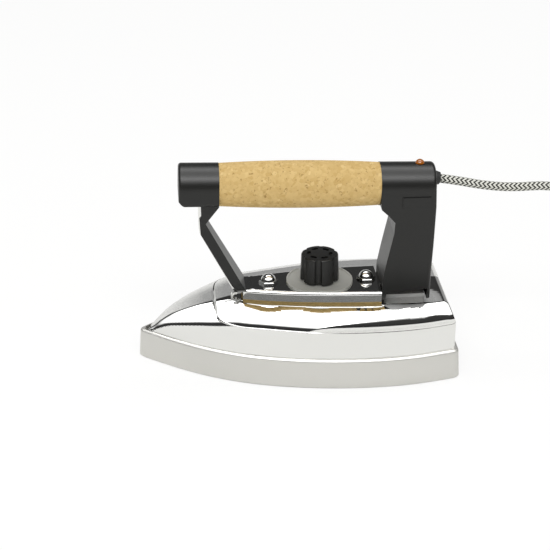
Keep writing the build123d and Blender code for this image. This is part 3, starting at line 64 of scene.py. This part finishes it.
def addNode(tree, kind, settings=None, links=None):  # one shader node with its values and inputs
    node = tree.nodes.new("ShaderNode" + kind)
    for key, value in (settings or {}).items():
        if key == "stops":
            while len(node.color_ramp.elements) < len(value):
                node.color_ramp.elements.new(0.5)
            for element, (place, color) in zip(node.color_ramp.elements, value):
                element.position = place
                element.color = hexColor(color) if isinstance(color, str) else [color] * 3 + [1]
        elif isinstance(key, str) and hasattr(node, key):
            setattr(node, key, value)
        else:
            node.inputs[key].default_value = value
    for key, source in (links or {}).items():
        tree.links.new(source, node.inputs[key])
    return node


def startMaterial(name, color, roughness, metallic=0.0, **more):
    material = bpy.data.materials.new(name)
    material.use_nodes = True
    tree = material.node_tree
    shader = tree.nodes["Principled BSDF"]
    shader.inputs["Base Color"].default_value = hexColor(color)
    shader.inputs["Roughness"].default_value = roughness
    shader.inputs["Metallic"].default_value = metallic
    for key, value in more.items():
        shader.inputs[key.replace("_", " ")].default_value = value
    material.diffuse_color = hexColor(color)
    return material, tree, shader


def objectCoords(tree, scale=(1, 1, 1)):  # object coordinates, in millimetres
    coords = addNode(tree, "TexCoord")
    return addNode(tree, "Mapping", {"vector_type": "POINT", "Scale": [1000 * s for s in scale]},
                   {"Vector": coords.outputs["Object"]}).outputs[0]


def addNoise(tree, scale, detail, stretch=(1, 1, 1), **more):  # scale in marks per millimetre
    return addNode(tree, "TexNoise", {"Scale": scale, "Detail": detail, **more},
                   {0: objectCoords(tree, stretch)}).outputs[0]


def addMath(tree, operation, settings=None, links=None):
    return addNode(tree, "Math", {"operation": operation, **(settings or {})}, links).outputs[0]


def addBump(tree, shader, height, distance, strength=1.0):  # distance in millimetres
    bump = addNode(tree, "Bump", {"Strength": strength, "Distance": distance * mm},
                   {"Height": height})
    tree.links.new(bump.outputs[0], shader.inputs["Normal"])


def varyRoughness(tree, shader, pattern, low, high):
    span = addNode(tree, "MapRange", {"To Min": low, "To Max": high}, {"Value": pattern})
    tree.links.new(span.outputs[0], shader.inputs["Roughness"])


def varyColor(tree, shader, pattern, stops):
    ramp = addNode(tree, "ValToRGB", {"stops": stops}, {0: pattern})
    tree.links.new(ramp.outputs[0], shader.inputs["Base Color"])


def finishPiece(name, bm, material, body):  # a smooth piece of the scene that rides on a body
    bmesh.ops.remove_doubles(bm, verts=bm.verts, dist=1e-6)
    bmesh.ops.recalc_face_normals(bm, faces=bm.faces)
    mesh = bpy.data.meshes.new(name)
    bm.to_mesh(mesh)
    bm.free()
    for polygon in mesh.polygons:
        polygon.use_smooth = True
    mesh.materials.append(material)
    piece = bpy.data.objects.new(name, mesh)
    bpy.context.scene.collection.objects.link(piece)
    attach(piece, body)
    return piece


def dress(material, *names):  # the CAD nodes keep their shape and get this material
    for name in names:
        node = nodes[name]
        if not node.material_slots:
            node.data.materials.append(material)
        for placed in node.material_slots:
            placed.material = material


def curveThrough(points, steps):  # smooth line through given points of any size
    lengths = [max(1e-6, math.dist(a, b)) ** 0.5 for a, b in zip(points, points[1:])]
    line = []
    for i, span in enumerate(lengths):
        a, b = Vector(points[i]), Vector(points[i + 1])
        before = (b - a) / span if i == 0 else (a - Vector(points[i - 1])) / lengths[i - 1]
        after = (b - a) / span
        beyond = after if i == len(lengths) - 1 else (Vector(points[i + 2]) - b) / lengths[i + 1]
        gone = lengths[i - 1] if i else span
        coming = lengths[i + 1] if i < len(lengths) - 1 else span
        slopeA = (before * span + after * gone) / (span + gone) * span
        slopeB = (after * coming + beyond * span) / (span + coming) * span
        for k in range(steps):
            t = k / steps
            line.append(a * (2 * t**3 - 3 * t**2 + 1) + slopeA * (t**3 - 2 * t**2 + t)
                        + b * (3 * t**2 - 2 * t**3) + slopeB * (t**3 - t**2))
    line.append(Vector(points[-1]))
    return line


# light, world and floor: metres and watts
# the metal mirrors a studio that is dark in a belt and bright above it, one way in front of the
# iron and another behind it: stops of height over the lowest angle, and brightness
lightSettings = {
    "frontBox": {"place": (-0.15, -1.25, 1.75), "size": (1.9, 0.62), "power": 22},
    "topBox": {"place": (0.0, 0.55, 1.9), "size": (1.6, 0.5), "power": 9},
    "aim": (0, 0, 0.08),
    "lowestAngle": -10, "highestAngle": 90,
    "behindStops": [(0.0, 0.26), (0.1, 0.2), (0.29, 0.16), (0.33, 0.018), (0.6, 0.025),
                    (0.7, 1.0)],
    "frontStops": [(0.0, 0.38), (0.09, 0.34), (0.12, 0.012), (0.38, 0.025), (0.5, 1.0)],
    "sideFade": 0.25,
    "worldLevel": 0.62,
    "boxLevel": 2.2,
    "floorSize": 4, "floorDrop": 0.0002, "floorShadowShare": 0.22,
}
for name in ("frontBox", "topBox"):
    box = lightSettings[name]
    lamp = bpy.data.lights.new(name, "AREA")
    lamp.shape = "RECTANGLE"
    lamp.size, lamp.size_y = box["size"]
    lamp.energy = box["power"]
    lampObject = bpy.data.objects.new(name, lamp)
    lampObject.location = box["place"]
    aim = Vector(lightSettings["aim"]) - lampObject.location
    lampObject.rotation_euler = aim.to_track_quat("-Z", "Y").to_euler()
    bpy.context.scene.collection.objects.link(lampObject)

world = bpy.data.worlds.new("studio")
bpy.context.scene.world = world
world.use_nodes = True
sky = world.node_tree
sky.nodes.clear()
direction = addNode(sky, "TexCoord").outputs["Generated"]
parts = addNode(sky, "SeparateXYZ", links={0: direction})
rise = addMath(sky, "ARCSINE", links={0: parts.outputs["Z"]})
height = addNode(sky, "MapRange", {"From Min": math.radians(lightSettings["lowestAngle"]),
                                   "From Max": math.radians(lightSettings["highestAngle"])},
                 {"Value": rise}).outputs[0]
behindRamp = addNode(sky, "ValToRGB", {"stops": lightSettings["behindStops"]}, {0: height})
frontRamp = addNode(sky, "ValToRGB", {"stops": lightSettings["frontStops"]}, {0: height})
sideShare = addNode(sky, "MapRange", {"From Min": -lightSettings["sideFade"],
                                      "From Max": lightSettings["sideFade"]},
                    {"Value": parts.outputs["Y"]}).outputs[0]
reflected = addNode(sky, "Mix", {"data_type": "RGBA"},
                    {0: sideShare, 6: frontRamp.outputs[0], 7: behindRamp.outputs[0]}).outputs[2]
path = addNode(sky, "LightPath")
level = addNode(sky, "Mix", {"data_type": "RGBA", 6: [lightSettings["worldLevel"]] * 3 + [1]},
                {0: path.outputs["Is Glossy Ray"], 7: reflected}).outputs[2]
shown = addNode(sky, "Mix", {"data_type": "RGBA", 7: (1, 1, 1, 1)},
                {0: path.outputs["Is Camera Ray"], 6: level}).outputs[2]
boost = addMath(sky, "MULTIPLY_ADD", {1: lightSettings["boxLevel"] - 1, 2: 1.0},
                {0: path.outputs["Is Glossy Ray"]})
ground = addNode(sky, "Background", links={"Color": shown, "Strength": boost})
addNode(sky, "OutputWorld", links={"Surface": ground.outputs[0]})

bm = bmesh.new()
bmesh.ops.create_grid(bm, x_segments=1, y_segments=1, size=lightSettings["floorSize"])
floorMesh = bpy.data.meshes.new("floor")
bm.to_mesh(floorMesh)
bm.free()
floor = bpy.data.objects.new("floor", floorMesh)
floor.location = (0, 0, -lightSettings["floorDrop"])
bpy.context.scene.collection.objects.link(floor)
# white paper board, matt; to the camera it is plain white but for a share of the shadows
floorMaterial, tree, shader = startMaterial("whiteBoard", "#f2f2f0", 0.8)
path = addNode(tree, "LightPath")
plain = addNode(tree, "Emission", {"Color": (1, 1, 1, 1)})
plainShare = addMath(tree, "MULTIPLY", {1: 1 - lightSettings["floorShadowShare"]},
                     {0: path.outputs["Is Camera Ray"]})
mixed = addNode(tree, "MixShader", links={0: plainShare, 1: shader.outputs[0],
                                          2: plain.outputs[0]})
tree.links.new(mixed.outputs[0], tree.nodes["Material Output"].inputs[0])
floorMesh.materials.append(floorMaterial)
print("light and floor placed")

# cord: a lead from the sleeve, a coil in layers on the floor and a tail to the plug, in mm
cordSettings = {
    "diameter": 6.0,
    "lead": [(96.5, 0.0, 125.2), (110.0, 0.0, 122.9), (125.0, 0.0, 119.4), (146.0, 0.0, 116.7),
             (174.0, 0.0, 118.0), (194.3, -1.8, 109.8), (209.3, -5.0, 93.9),
             (216.3, -7.5, 73.3), (217.2, -8.0, 44.3), (224.1, -13.8, 24.2),
             (235.0, -25.9, 9.5), (245.0, -39.6, 3.0)],
    "coilStart": (258.0, -62.1, 3.0), "heading": (0.5, -0.866), "radius": 40.0,
    "trackStep": 7.0, "layerStep": 7.0, "halfTurns": 4, "layers": 4, "pointsPerHalfTurn": 6,
    "tailRun": 12.0, "tailSlope": 14.0, "plugHeight": 19.5,
    "splineOrder": 3, "splineSteps": 4, "sides": 16,
    "braidPitch": 3.1, "zigzags": 5, "zigzagDepth": 1.5, "unevenness": 0.06,
    "yarnHeight": 0.5, "yarnStrength": 0.6,
}


def cordRoute(s):
    along = Vector((*s["heading"], 0)).normalized()
    across = Vector((-along.y, along.x, 0))
    start = Vector(s["coilStart"])
    centre = start + across * s["radius"]
    outward = -across
    route = [Vector(p) for p in s["lead"]]
    narrowing = s["trackStep"] / 2
    inward = [s["radius"] - narrowing * k for k in range(s["halfTurns"])]
    inner = s["radius"] - narrowing * s["halfTurns"]
    outer = s["radius"] + narrowing
    place, side, level = s["radius"], 1, 0.0
    for layer in range(s["layers"]):
        tracks = inward if layer % 2 == 0 else inward[::-1]
        if layer and layer % 2 == 0:
            tracks = [outer] + inward[1:]
        tracks = [(radius, 0) for radius in tracks]
        if layer < s["layers"] - 1:
            tracks.append((inner if layer % 2 == 0 else outer, s["layerStep"]))
        for radius, climb in tracks:
            middle = place - side * radius
            for k in range(s["pointsPerHalfTurn"]):
                turn = math.pi * (k + 0.5) / s["pointsPerHalfTurn"]
                reach = radius / math.cos(math.pi / 2 / s["pointsPerHalfTurn"])
                spot = Vector((middle + side * reach * math.cos(turn),
                               side * reach * math.sin(turn)))
                height = level + climb * (1 - math.cos(turn)) / 2
                point = centre + outward * spot.x + along * spot.y
                route.append(Vector((point.x, point.y, start.z + height)))
            place, side, level = middle - side * radius, -side, level + climb
    end = centre + outward * place
    end.z = start.z + level
    leave = along * side
    drop = Vector((0, 0, s["plugHeight"] - end.z))
    route.append(end + leave * (s["diameter"] + s["tailRun"]))
    route.append(end + leave * (s["diameter"] + s["tailRun"] + s["tailSlope"]) + drop)
    route.append(end + leave * (s["diameter"] + 2 * s["tailRun"] + s["tailSlope"]) + drop)
    return route


def smoothLine(route, order, steps):  # the route's own NURBS spline, read back as points
    curve = bpy.data.curves.new("line", "CURVE")
    curve.dimensions = "3D"
    spline = curve.splines.new("NURBS")
    spline.points.add(len(route) - 1)
    for point, spot in zip(spline.points, route):
        point.co = (*(spot * mm), 1)
    spline.order_u = order
    spline.use_endpoint_u = True
    spline.resolution_u = steps
    carrier = bpy.data.objects.new("line", curve)
    mesh = bpy.data.meshes.new_from_object(carrier)
    line = [v.co.copy() for v in mesh.vertices]
    bpy.data.objects.remove(carrier)
    bpy.data.curves.remove(curve)
    bpy.data.meshes.remove(mesh)
    return line


def sweepTube(bm, line, radius, sides):  # rings along a line, with metres along it kept as UV
    uv = bm.loops.layers.uv.new("UVMap")
    rings, walked = [], [0.0]
    normal = None
    for i, spot in enumerate(line):
        heading = (line[min(i + 1, len(line) - 1)] - line[max(i - 1, 0)]).normalized()
        if normal is None:
            normal = heading.cross(Vector((0, 0, 1))).normalized()
        normal = (normal - heading * normal.dot(heading)).normalized()
        other = heading.cross(normal)
        ring = bmesh.ops.create_circle(bm, cap_ends=False, segments=sides, radius=radius)["verts"]
        for k, vert in enumerate(ring):
            turn = 2 * math.pi * k / sides
            vert.co = spot + (normal * math.cos(turn) + other * math.sin(turn)) * radius
        if i:
            walked.append(walked[-1] + (spot - line[i - 1]).length)
        rings.append(ring)
    for edge in list(bm.edges):
        bm.edges.remove(edge)
    for i in range(len(rings) - 1):
        for k in range(sides):
            n = (k + 1) % sides
            face = bm.faces.new((rings[i][k], rings[i][n], rings[i + 1][n], rings[i + 1][k]))
            ends = ((i, k), (i, k + 1), (i + 1, k + 1), (i + 1, k))
            for loop, (along, around) in zip(face.loops, ends):
                loop[uv].uv = (walked[along], around / sides)
    bm.faces.new(rings[0][::-1])
    bm.faces.new(rings[-1])
    return walked[-1]


# braided cotton over rubber flex: matt, woven in black and white zigzags, soft at the edges
braid, tree, shader = startMaterial("cottonBraid", "#55564f", 0.85, Sheen_Weight=0.25)
uvMap = addNode(tree, "UVMap", {"uv_map": "UVMap"}).outputs[0]
uvs = addNode(tree, "SeparateXYZ", links={0: uvMap})
along = addMath(tree, "MULTIPLY", {1: 1000 / cordSettings["braidPitch"]}, {0: uvs.outputs[0]})
around = addMath(tree, "MULTIPLY", {1: cordSettings["zigzags"]}, {0: uvs.outputs[1]})
zigzag = addMath(tree, "PINGPONG", {1: 0.5}, {0: around})
bend = addMath(tree, "MULTIPLY", {1: cordSettings["zigzagDepth"]}, {0: zigzag})
slant = addMath(tree, "ADD", links={0: along, 1: bend})
yarn = addMath(tree, "FRACT", links={0: slant})
wander = addNoise(tree, 0.9, 2)
uneven = addMath(tree, "MULTIPLY_ADD", {1: cordSettings["unevenness"]}, {0: wander, 2: yarn})
varyColor(tree, shader, uneven, [(0.03, "#cfcfc6"), (0.08, "#262622"), (0.52, "#22221f"),
                                 (0.57, "#cbcbc2"), (0.95, "#dcdcd3")])
strand = addMath(tree, "PINGPONG", {1: 0.25}, {0: yarn})
addBump(tree, shader, strand, cordSettings["yarnHeight"], cordSettings["yarnStrength"])

route = cordRoute(cordSettings)
cordLine = smoothLine(route, cordSettings["splineOrder"], cordSettings["splineSteps"])
bm = bmesh.new()
cordLength = sweepTube(bm, cordLine, cordSettings["diameter"] / 2 * mm, cordSettings["sides"])
cordPiece = finishPiece("cord", bm, braid, "iron")
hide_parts("cord_lead", "cord_coil", "cord_tail")
print("cord made, length", round(cordLength, 3))

# soft black rubber, moulded and matt, of the plug and the sleeve
rubber, tree, shader = startMaterial("mouldedRubber", "#1d1d1d", 0.55)
grain = addNoise(tree, 2.2, 3)
addBump(tree, shader, grain, 0.04)
varyColor(tree, shader, grain, [(0.3, "#181818"), (0.7, "#242423")])
dress(rubber, "cord_sleeve", "plug_body")
print("plug dressed")

# hood: drawn steel shell, squarish in section, that slopes down to its nose; millimetres
# sides: share of the length and of the half width; ridge: share of the rise and of the nose's run
hoodSettings = {
    "length": 215.0, "width": 118.0, "seam": 18.6, "top": 42.5, "wall": 1.0,
    "sideInset": 3.3, "noseInset": 4.4, "noseRun": 66.7,
    "squareness": (7.0, 20.0), "crestShare": 0.985,
    "noseRadius": 4.0, "noseAngle": 40.0, "heelRadius": 5.0, "heelAngle": 14.0,
    "heelShare": 0.858,
    "sides": [(0.16, 0.475), (0.327, 0.778), (0.50, 0.938), (0.686, 1.0), (0.865, 0.956)],
    "ridge": [(0.0, 0.0), (0.128, 0.078), (0.31, 0.16), (0.49, 0.262), (0.64, 0.40),
              (0.77, 0.56), (0.857, 0.70), (0.93, 0.82), (0.985, 0.94), (1.0, 1.0)],
    "rings": 44, "ringEase": 0.8, "sidePoints": 110, "cornerPoints": 8, "heelPoints": 10,
    "sideSteps": 12, "noseSteps": 12, "ridgeSteps": 6,
    "shareStep": 0.02, "shareCount": 48, "riseCount": 40,
    "stations": [0.42, 0.56, 0.70, 0.85],
    "holes": [(-18.0, 3.3), (49.1, 3.3), (17.0, 4.5), (81.95, 5.5)], "holePoints": 24,
}


def readAt(line, x):  # height of a rising line of points at a place, straight between them
    for (low, a), (high, b) in zip(line, line[1:]):
        if x < high:
            return a if x < low else a + (b - a) * (x - low) / (high - low)
    return line[-1][1]


def spread(line, count):  # the same line as so many points at even steps along it
    walked = [(0.0, 0.0)]
    for i, (a, b) in enumerate(zip(line, line[1:])):
        walked.append((walked[-1][0] + (b - a).length, i + 1.0))
    spots = []
    for k in range(count):
        place = readAt(walked, walked[-1][0] * k / (count - 1))
        i = min(int(place), len(line) - 2)
        spots.append(line[i].lerp(line[i + 1], place - i))
    return spots


def squareShare(s, level, along):  # half width left at a share of the height, nose to heel
    low, high = s["squareness"]
    power = low + (high - low) * along * along
    return max(0.0, 1 - level ** power) ** (1 / power)


def hoodPlan(s, inset, level):  # half plan of the hood at a share of its rise, nose to heel
    nose, end = -s["length"] / 2 + s["noseInset"] + inset, s["length"] / 2 - s["sideInset"] - inset
    half = s["width"] / 2 - s["sideInset"] - inset
    noseTurn, heelTurn = math.radians(s["noseAngle"]), math.radians(s["heelAngle"])
    r, h = s["noseRadius"], s["heelRadius"]
    base = [(nose + r * (1 - math.sin(noseTurn)), r * math.cos(noseTurn))]
    base += [(nose + (end - nose) * x, half * y) for x, y in s["sides"]]
    base += [(end - h * (1 - math.sin(heelTurn)), half * s["heelShare"])]
    base = curveThrough(base, s["sideSteps"])
    margin = half * (1 - squareShare(s, level, 1))
    rear, heelHalf = end - margin, (half - margin) * s["heelShare"]
    heelX = rear - h * (1 - math.sin(heelTurn))
    if level == 0:
        front = []
        for k in range(s["noseSteps"]):
            turn = math.pi - (math.pi / 2 - noseTurn) * k / s["noseSteps"]
            front.append(Vector((nose + r + r * math.cos(turn), r * math.sin(turn))))
        front += base
    else:
        ridge = curveThrough(s["ridge"], s["ridgeSteps"])
        count = s["riseCount"]
        rises = [level / squareShare(s, s["shareStep"] * k, 0) for k in range(s["shareCount"])]
        rises = sorted([rise for rise in rises if rise < 1]
                       + [level + (1 - level) * (k / count) ** 2 for k in range(1, count + 1)])
        front = []
        for rise in rises:
            x = nose + readAt(ridge, rise) * s["noseRun"]
            along = (x - nose) / (end - nose)
            front.append(Vector((x, readAt(base, x) * squareShare(s, level / rise, along))))
        start, begin = front[0].x, front.pop()
        side = [(begin.x, begin.y)]
        for share in s["stations"]:
            x = start + share * (rear - start)
            along = (x - nose) / (end - nose)
            side.append((x, readAt(base, x) * squareShare(s, level, along)))
        front += curveThrough(side + [(heelX, heelHalf)], s["sideSteps"])
    line = spread(front, s["sidePoints"])
    low = heelHalf - h * math.cos(heelTurn)
    for k in range(1, s["cornerPoints"] + 1):
        turn = (math.pi / 2 - heelTurn) * (1 - k / s["cornerPoints"])
        line.append(Vector((rear - h + h * math.cos(turn), low + h * math.sin(turn))))
    for k in range(1, s["heelPoints"] + 1):
        line.append(Vector((rear, low * (1 - k / s["heelPoints"]))))
    return line


def hoodRing(bm, s, inset, level, height):
    half = hoodPlan(s, inset, level)
    spots = half + [Vector((p.x, -p.y)) for p in half[-2:0:-1]]
    ring = bmesh.ops.create_circle(bm, cap_ends=False, segments=len(spots), radius=1)["verts"]
    for vert, spot in zip(ring, spots):
        vert.co = (spot.x * mm, spot.y * mm, height * mm)
    return ring


def edgesOf(ring):
    return list({edge for vert in ring for edge in vert.link_edges
                 if edge.verts[0] in ring and edge.verts[1] in ring})


def hoodSkin(bm, s, inset):  # outside or inside of the hood: rings, then a flat top with holes
    rise = (s["top"] - s["seam"] - inset) / s["crestShare"]
    rings = []
    for k in range(s["rings"]):
        ease = math.sin(math.pi / 2 * k / (s["rings"] - 1)) ** s["ringEase"]
        level = s["crestShare"] * ease
        rings.append(hoodRing(bm, s, inset, level, s["seam"] + level * rise))
    for low, high in zip(rings, rings[1:]):
        count = len(low)
        for k in range(count):
            n = (k + 1) % count
            bm.faces.new((low[k], low[n], high[n], high[k]))
    holes = []
    for x, radius in s["holes"]:
        hole = bmesh.ops.create_circle(bm, cap_ends=False, segments=s["holePoints"],
                                       radius=radius * mm)["verts"]
        for vert in hole:
            vert.co += Vector((x * mm, 0, (s["top"] - inset) * mm))
        holes.append(hole)
    rims = edgesOf(set(rings[-1]))
    for hole in holes:
        rims += edgesOf(set(hole))
    bmesh.ops.triangle_fill(bm, edges=rims, use_beauty=True)
    return rings[0], holes


def softPast(tree, value, line, bend):  # how far a value lies beyond a line, with a soft start
    past = addMath(tree, "SUBTRACT", links={0: value, 1: line})
    past = addMath(tree, "MAXIMUM", {1: 0.0}, {0: past})
    square = addMath(tree, "MULTIPLY_ADD", {2: bend}, {0: past, 1: past})
    return addMath(tree, "SQRT", links={0: square})


def widthAlong(tree, along, run, widths):  # a half width that changes smoothly over a run
    return addNode(tree, "MapRange", {"interpolation_type": "SMOOTHSTEP",
                                      "From Min": run[0], "From Max": run[1],
                                      "To Min": widths[0], "To Max": widths[1]},
                   {"Value": along}).outputs[0]


# the hood's finish is crowned more than its skin is: level up to a half width from the middle,
# then falling to the side, and more steeply at the rim; widths in mm that change along the hood
crownSettings = {
    "topRun": (-75.0, 60.0), "topWidths": (0.0, 19.0), "topFall": 0.85, "topBend": 6.0,
    "rimRun": (-45.0, 100.0), "rimWidths": (56.0, 37.0), "rimFall": 1.1, "rimBend": 4.0,
    "waves": 0.35,
}
# chromium plate on drawn steel, buffed: a mirror with slight waves from the press and the mop
mirror, tree, shader = startMaterial("buffedChrome", "#dededc", 0.06, 1.0)
waves = addNoise(tree, 0.035, 1)
mop = addNoise(tree, 1.6, 4, (0.08, 0.5, 1))
varyRoughness(tree, shader, mop, 0.03, 0.1)
place = addNode(tree, "SeparateXYZ", links={0: objectCoords(tree)})
outward = addMath(tree, "ABSOLUTE", links={0: place.outputs["Y"]})
topWidth = widthAlong(tree, place.outputs["X"], crownSettings["topRun"],
                      crownSettings["topWidths"])
rimWidth = widthAlong(tree, place.outputs["X"], crownSettings["rimRun"],
                      crownSettings["rimWidths"])
pastTop = softPast(tree, outward, topWidth, crownSettings["topBend"])
pastRim = softPast(tree, outward, rimWidth, crownSettings["rimBend"])
crown = addMath(tree, "MULTIPLY", {1: -crownSettings["topFall"]}, {0: pastTop})
crown = addMath(tree, "MULTIPLY_ADD", {1: -crownSettings["rimFall"]}, {0: pastRim, 2: crown})
form = addMath(tree, "MULTIPLY_ADD", {1: crownSettings["waves"]}, {0: waves, 2: crown})
addBump(tree, shader, form, 1.0)

bm = bmesh.new()
outside, outerHoles = hoodSkin(bm, hoodSettings, 0.0)
inside, innerHoles = hoodSkin(bm, hoodSettings, hoodSettings["wall"])
for outer, inner in zip([outside] + outerHoles, [inside] + innerHoles):
    bmesh.ops.bridge_loops(bm, edges=edgesOf(set(outer)) + edgesOf(set(inner)))
hoodPiece = finishPiece("hoodShell", bm, mirror, "iron")
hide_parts("hood")

# the same plate on the frame and the nuts, without the hood's crown
plate, tree, shader = startMaterial("platedSteel", "#dededc", 0.07, 1.0)
addBump(tree, shader, addNoise(tree, 0.05, 1), 0.15)
dress(plate, "frame_bracket", "cap_nuts")
print("hood made")

# cast aluminium, linished along its edge: pale satin with fine lines that run round the band
satin, tree, shader = startMaterial("linishedAluminium", "#d4d3cf", 0.34, 1.0)
lines = addNoise(tree, 1.0, 4, (0.03, 0.03, 3.5), Roughness=0.7)
varyRoughness(tree, shader, lines, 0.42, 0.52)
addBump(tree, shader, lines, 0.02)
dress(satin, "sole_plate")

# pressed paper board with resin: olive brown, matt, short fibres; its tail under the post is
# painted pale grey, a painted reflection of the chrome hood
boardSettings = {"tailStart": 57.5, "tailPaintedReflection": "#a3a3a1"}
board, tree, shader = startMaterial("resinBoard", "#7d6732", 0.6)
fibres = addNoise(tree, 0.8, 5, (1, 1, 4))
shade = addNode(tree, "ValToRGB", {"stops": [(0.3, "#66532a"), (0.7, "#8f7840")]}, {0: fibres})
along = addNode(tree, "SeparateXYZ", links={0: objectCoords(tree)}).outputs["X"]
# past the tail's start the board's colour is replaced by flat pale grey: a painted reflection of
# the hood, not the board's own colour
tail = addMath(tree, "GREATER_THAN", {1: boardSettings["tailStart"]}, {0: along})
boardWithPaintedReflection = addNode(tree, "Mix", {"data_type": "RGBA", 7: hexColor(boardSettings["tailPaintedReflection"])},
                {0: tail, 6: shade.outputs[0]})
tree.links.new(boardWithPaintedReflection.outputs[2], shader.inputs["Base Color"])
addBump(tree, shader, fibres, 0.06)
dress(board, "insulating_board")

# anodised aluminium plate, satin and plain
dial = startMaterial("anodisedPlate", "#a2a29c", 0.45, 0.2)[0]
dress(dial, "dial_plate")

# zinc-plated steel of the fasteners, tube and brackets: cool grey, slightly cloudy
zinc, tree, shader = startMaterial("zincPlatedSteel", "#b4b6b8", 0.3, 1.0)
varyRoughness(tree, shader, addNoise(tree, 0.5, 3), 0.22, 0.42)
dress(zinc, "clamp_studs", "spacer_tubes", "leg_screw", "tie_rod", "tie_washer", "tie_nut",
      "grip_tube", "cover_screws", "clamp_screws", "earth_screw", "spindle",
      "thermostat_bracket", "bracket_screws", "pile_rivet")

# rolled brass of the leaves, bush and terminals
brass, tree, shader = startMaterial("rolledBrass", "#c9a75c", 0.28, 1.0)
varyColor(tree, shader, addNoise(tree, 1.5, 3, (0.1, 1, 1)),
          [(0.35, "#c9a75c"), (0.75, "#a98846")])
dress(brass, "bimetal_strip", "contact_leaf", "upper_leaf", "block_screws", "earth_ring",
      "dial_bush", "bush_nut", "plug_pins")

# steatite of the insulators: fired, off-white, matt
steatite, tree, shader = startMaterial("firedSteatite", "#e0dccf", 0.5)
addBump(tree, shader, addNoise(tree, 3.0, 3), 0.05)
dress(steatite, "element_terminals", "ceramic_rings", "terminal_block", "adjuster_tip")

# steel tube tinted by heat: brown to blue patches along it
tinted, tree, shader = startMaterial("heatTintedSteel", "#7c6f66", 0.35, 1.0)
varyColor(tree, shader, addNoise(tree, 0.05, 3),
          [(0.35, "#8a7a66"), (0.55, "#6d6470"), (0.7, "#5a6472")])
dress(tinted, "heating_element")

# grey cast iron, as cast: dark, rough, sand marks about a millimetre across
casting, tree, shader = startMaterial("greyCastIron", "#4b4a49", 0.6, 0.9)
addBump(tree, shader, addNoise(tree, 1.0, 5), 0.2)
dress(casting, "pressure_plate")

# woven glass sleeving on the inner wires: cream, ribbed by its threads
sleeving, tree, shader = startMaterial("glassSleeving", "#cfc19a", 0.8)
weave = addNode(tree, "TexWave", {"Scale": 0.35, "wave_type": "BANDS",
                                  "bands_direction": "DIAGONAL"}, {0: objectCoords(tree)})
addBump(tree, shader, weave.outputs[0], 0.15)
dress(sleeving, "lead_wires", "earth_wire", "neutral_wire", "live_wire", "load_wire")
dress(braid, "inner_cord")

# phenolic resin, compression moulded: near black with an olive cast, satin from the tool
phenolic, tree, shader = startMaterial("mouldedPhenolic", "#121210", 0.36, IOR=1.45)
varyRoughness(tree, shader, addNoise(tree, 0.06, 2), 0.33, 0.40)
addBump(tree, shader, addNoise(tree, 3.0, 3), 0.015)
dress(phenolic, "front_support", "front_plug", "rear_post", "rear_cover", "cord_clamp", "knob")

# agglomerated cork, turned and sanded: light granules with darker bark specks and open pores
corkSettings = {"granule": 1.5, "granuleWarp": 0.35, "poreWidth": 0.12, "poreDepth": 0.12,
                "poreStrength": 0.7}
cork, tree, shader = startMaterial("agglomeratedCork", "#c4a56c", 0.85, Specular_IOR_Level=0.25)
coords = objectCoords(tree)
warp = addNode(tree, "TexNoise", {"Scale": 0.45, "Detail": 3}, {0: coords})
bent = addNode(tree, "Mix", {"data_type": "VECTOR", 0: corkSettings["granuleWarp"]},
               {4: coords, 5: warp.outputs["Color"]})
granules = addNode(tree, "TexVoronoi", {"Scale": 1 / corkSettings["granule"], "Randomness": 1.0},
                   {"Vector": bent.outputs[1]})
cells = addNode(tree, "ValToRGB", {"stops": [(0.1, "#bfa065"), (0.45, "#c6a86f"),
                                             (0.8, "#ccaf76"), (0.97, "#d6bb84")]},
                {0: granules.outputs["Color"]})
specks = addNoise(tree, 0.42, 4, Roughness=0.75)
bark = addNode(tree, "ValToRGB", {"stops": [(0.58, 0.0), (0.66, 0.8)]}, {0: specks})
speckled = addNode(tree, "Mix", {"data_type": "RGBA", 7: hexColor("#8d6f3c")},
                   {0: bark.outputs[0], 6: cells.outputs[0]})
tree.links.new(speckled.outputs[2], shader.inputs["Base Color"])
seams = addNode(tree, "TexVoronoi", {"Scale": 1 / corkSettings["granule"],
                                     "feature": "DISTANCE_TO_EDGE"}, {"Vector": bent.outputs[1]})
pits = addNode(tree, "MapRange", {"From Max": corkSettings["poreWidth"]},
               {"Value": seams.outputs["Distance"]})
addBump(tree, shader, pits.outputs[0], corkSettings["poreDepth"], corkSettings["poreStrength"])
dress(cork, "cork_grip")

# amber polycarbonate lens, moulded clear and glossy
amber = startMaterial("amberPolycarbonate", "#b4660f", 0.12, IOR=1.58,
                      Transmission_Weight=0.35)[0]
dress(amber, "lamp_lens")
# thin glass bulb
bulb = startMaterial("lampGlass", "#efe6d2", 0.05, Transmission_Weight=0.9)[0]
dress(bulb, "lamp_bulb")
print("materials given")
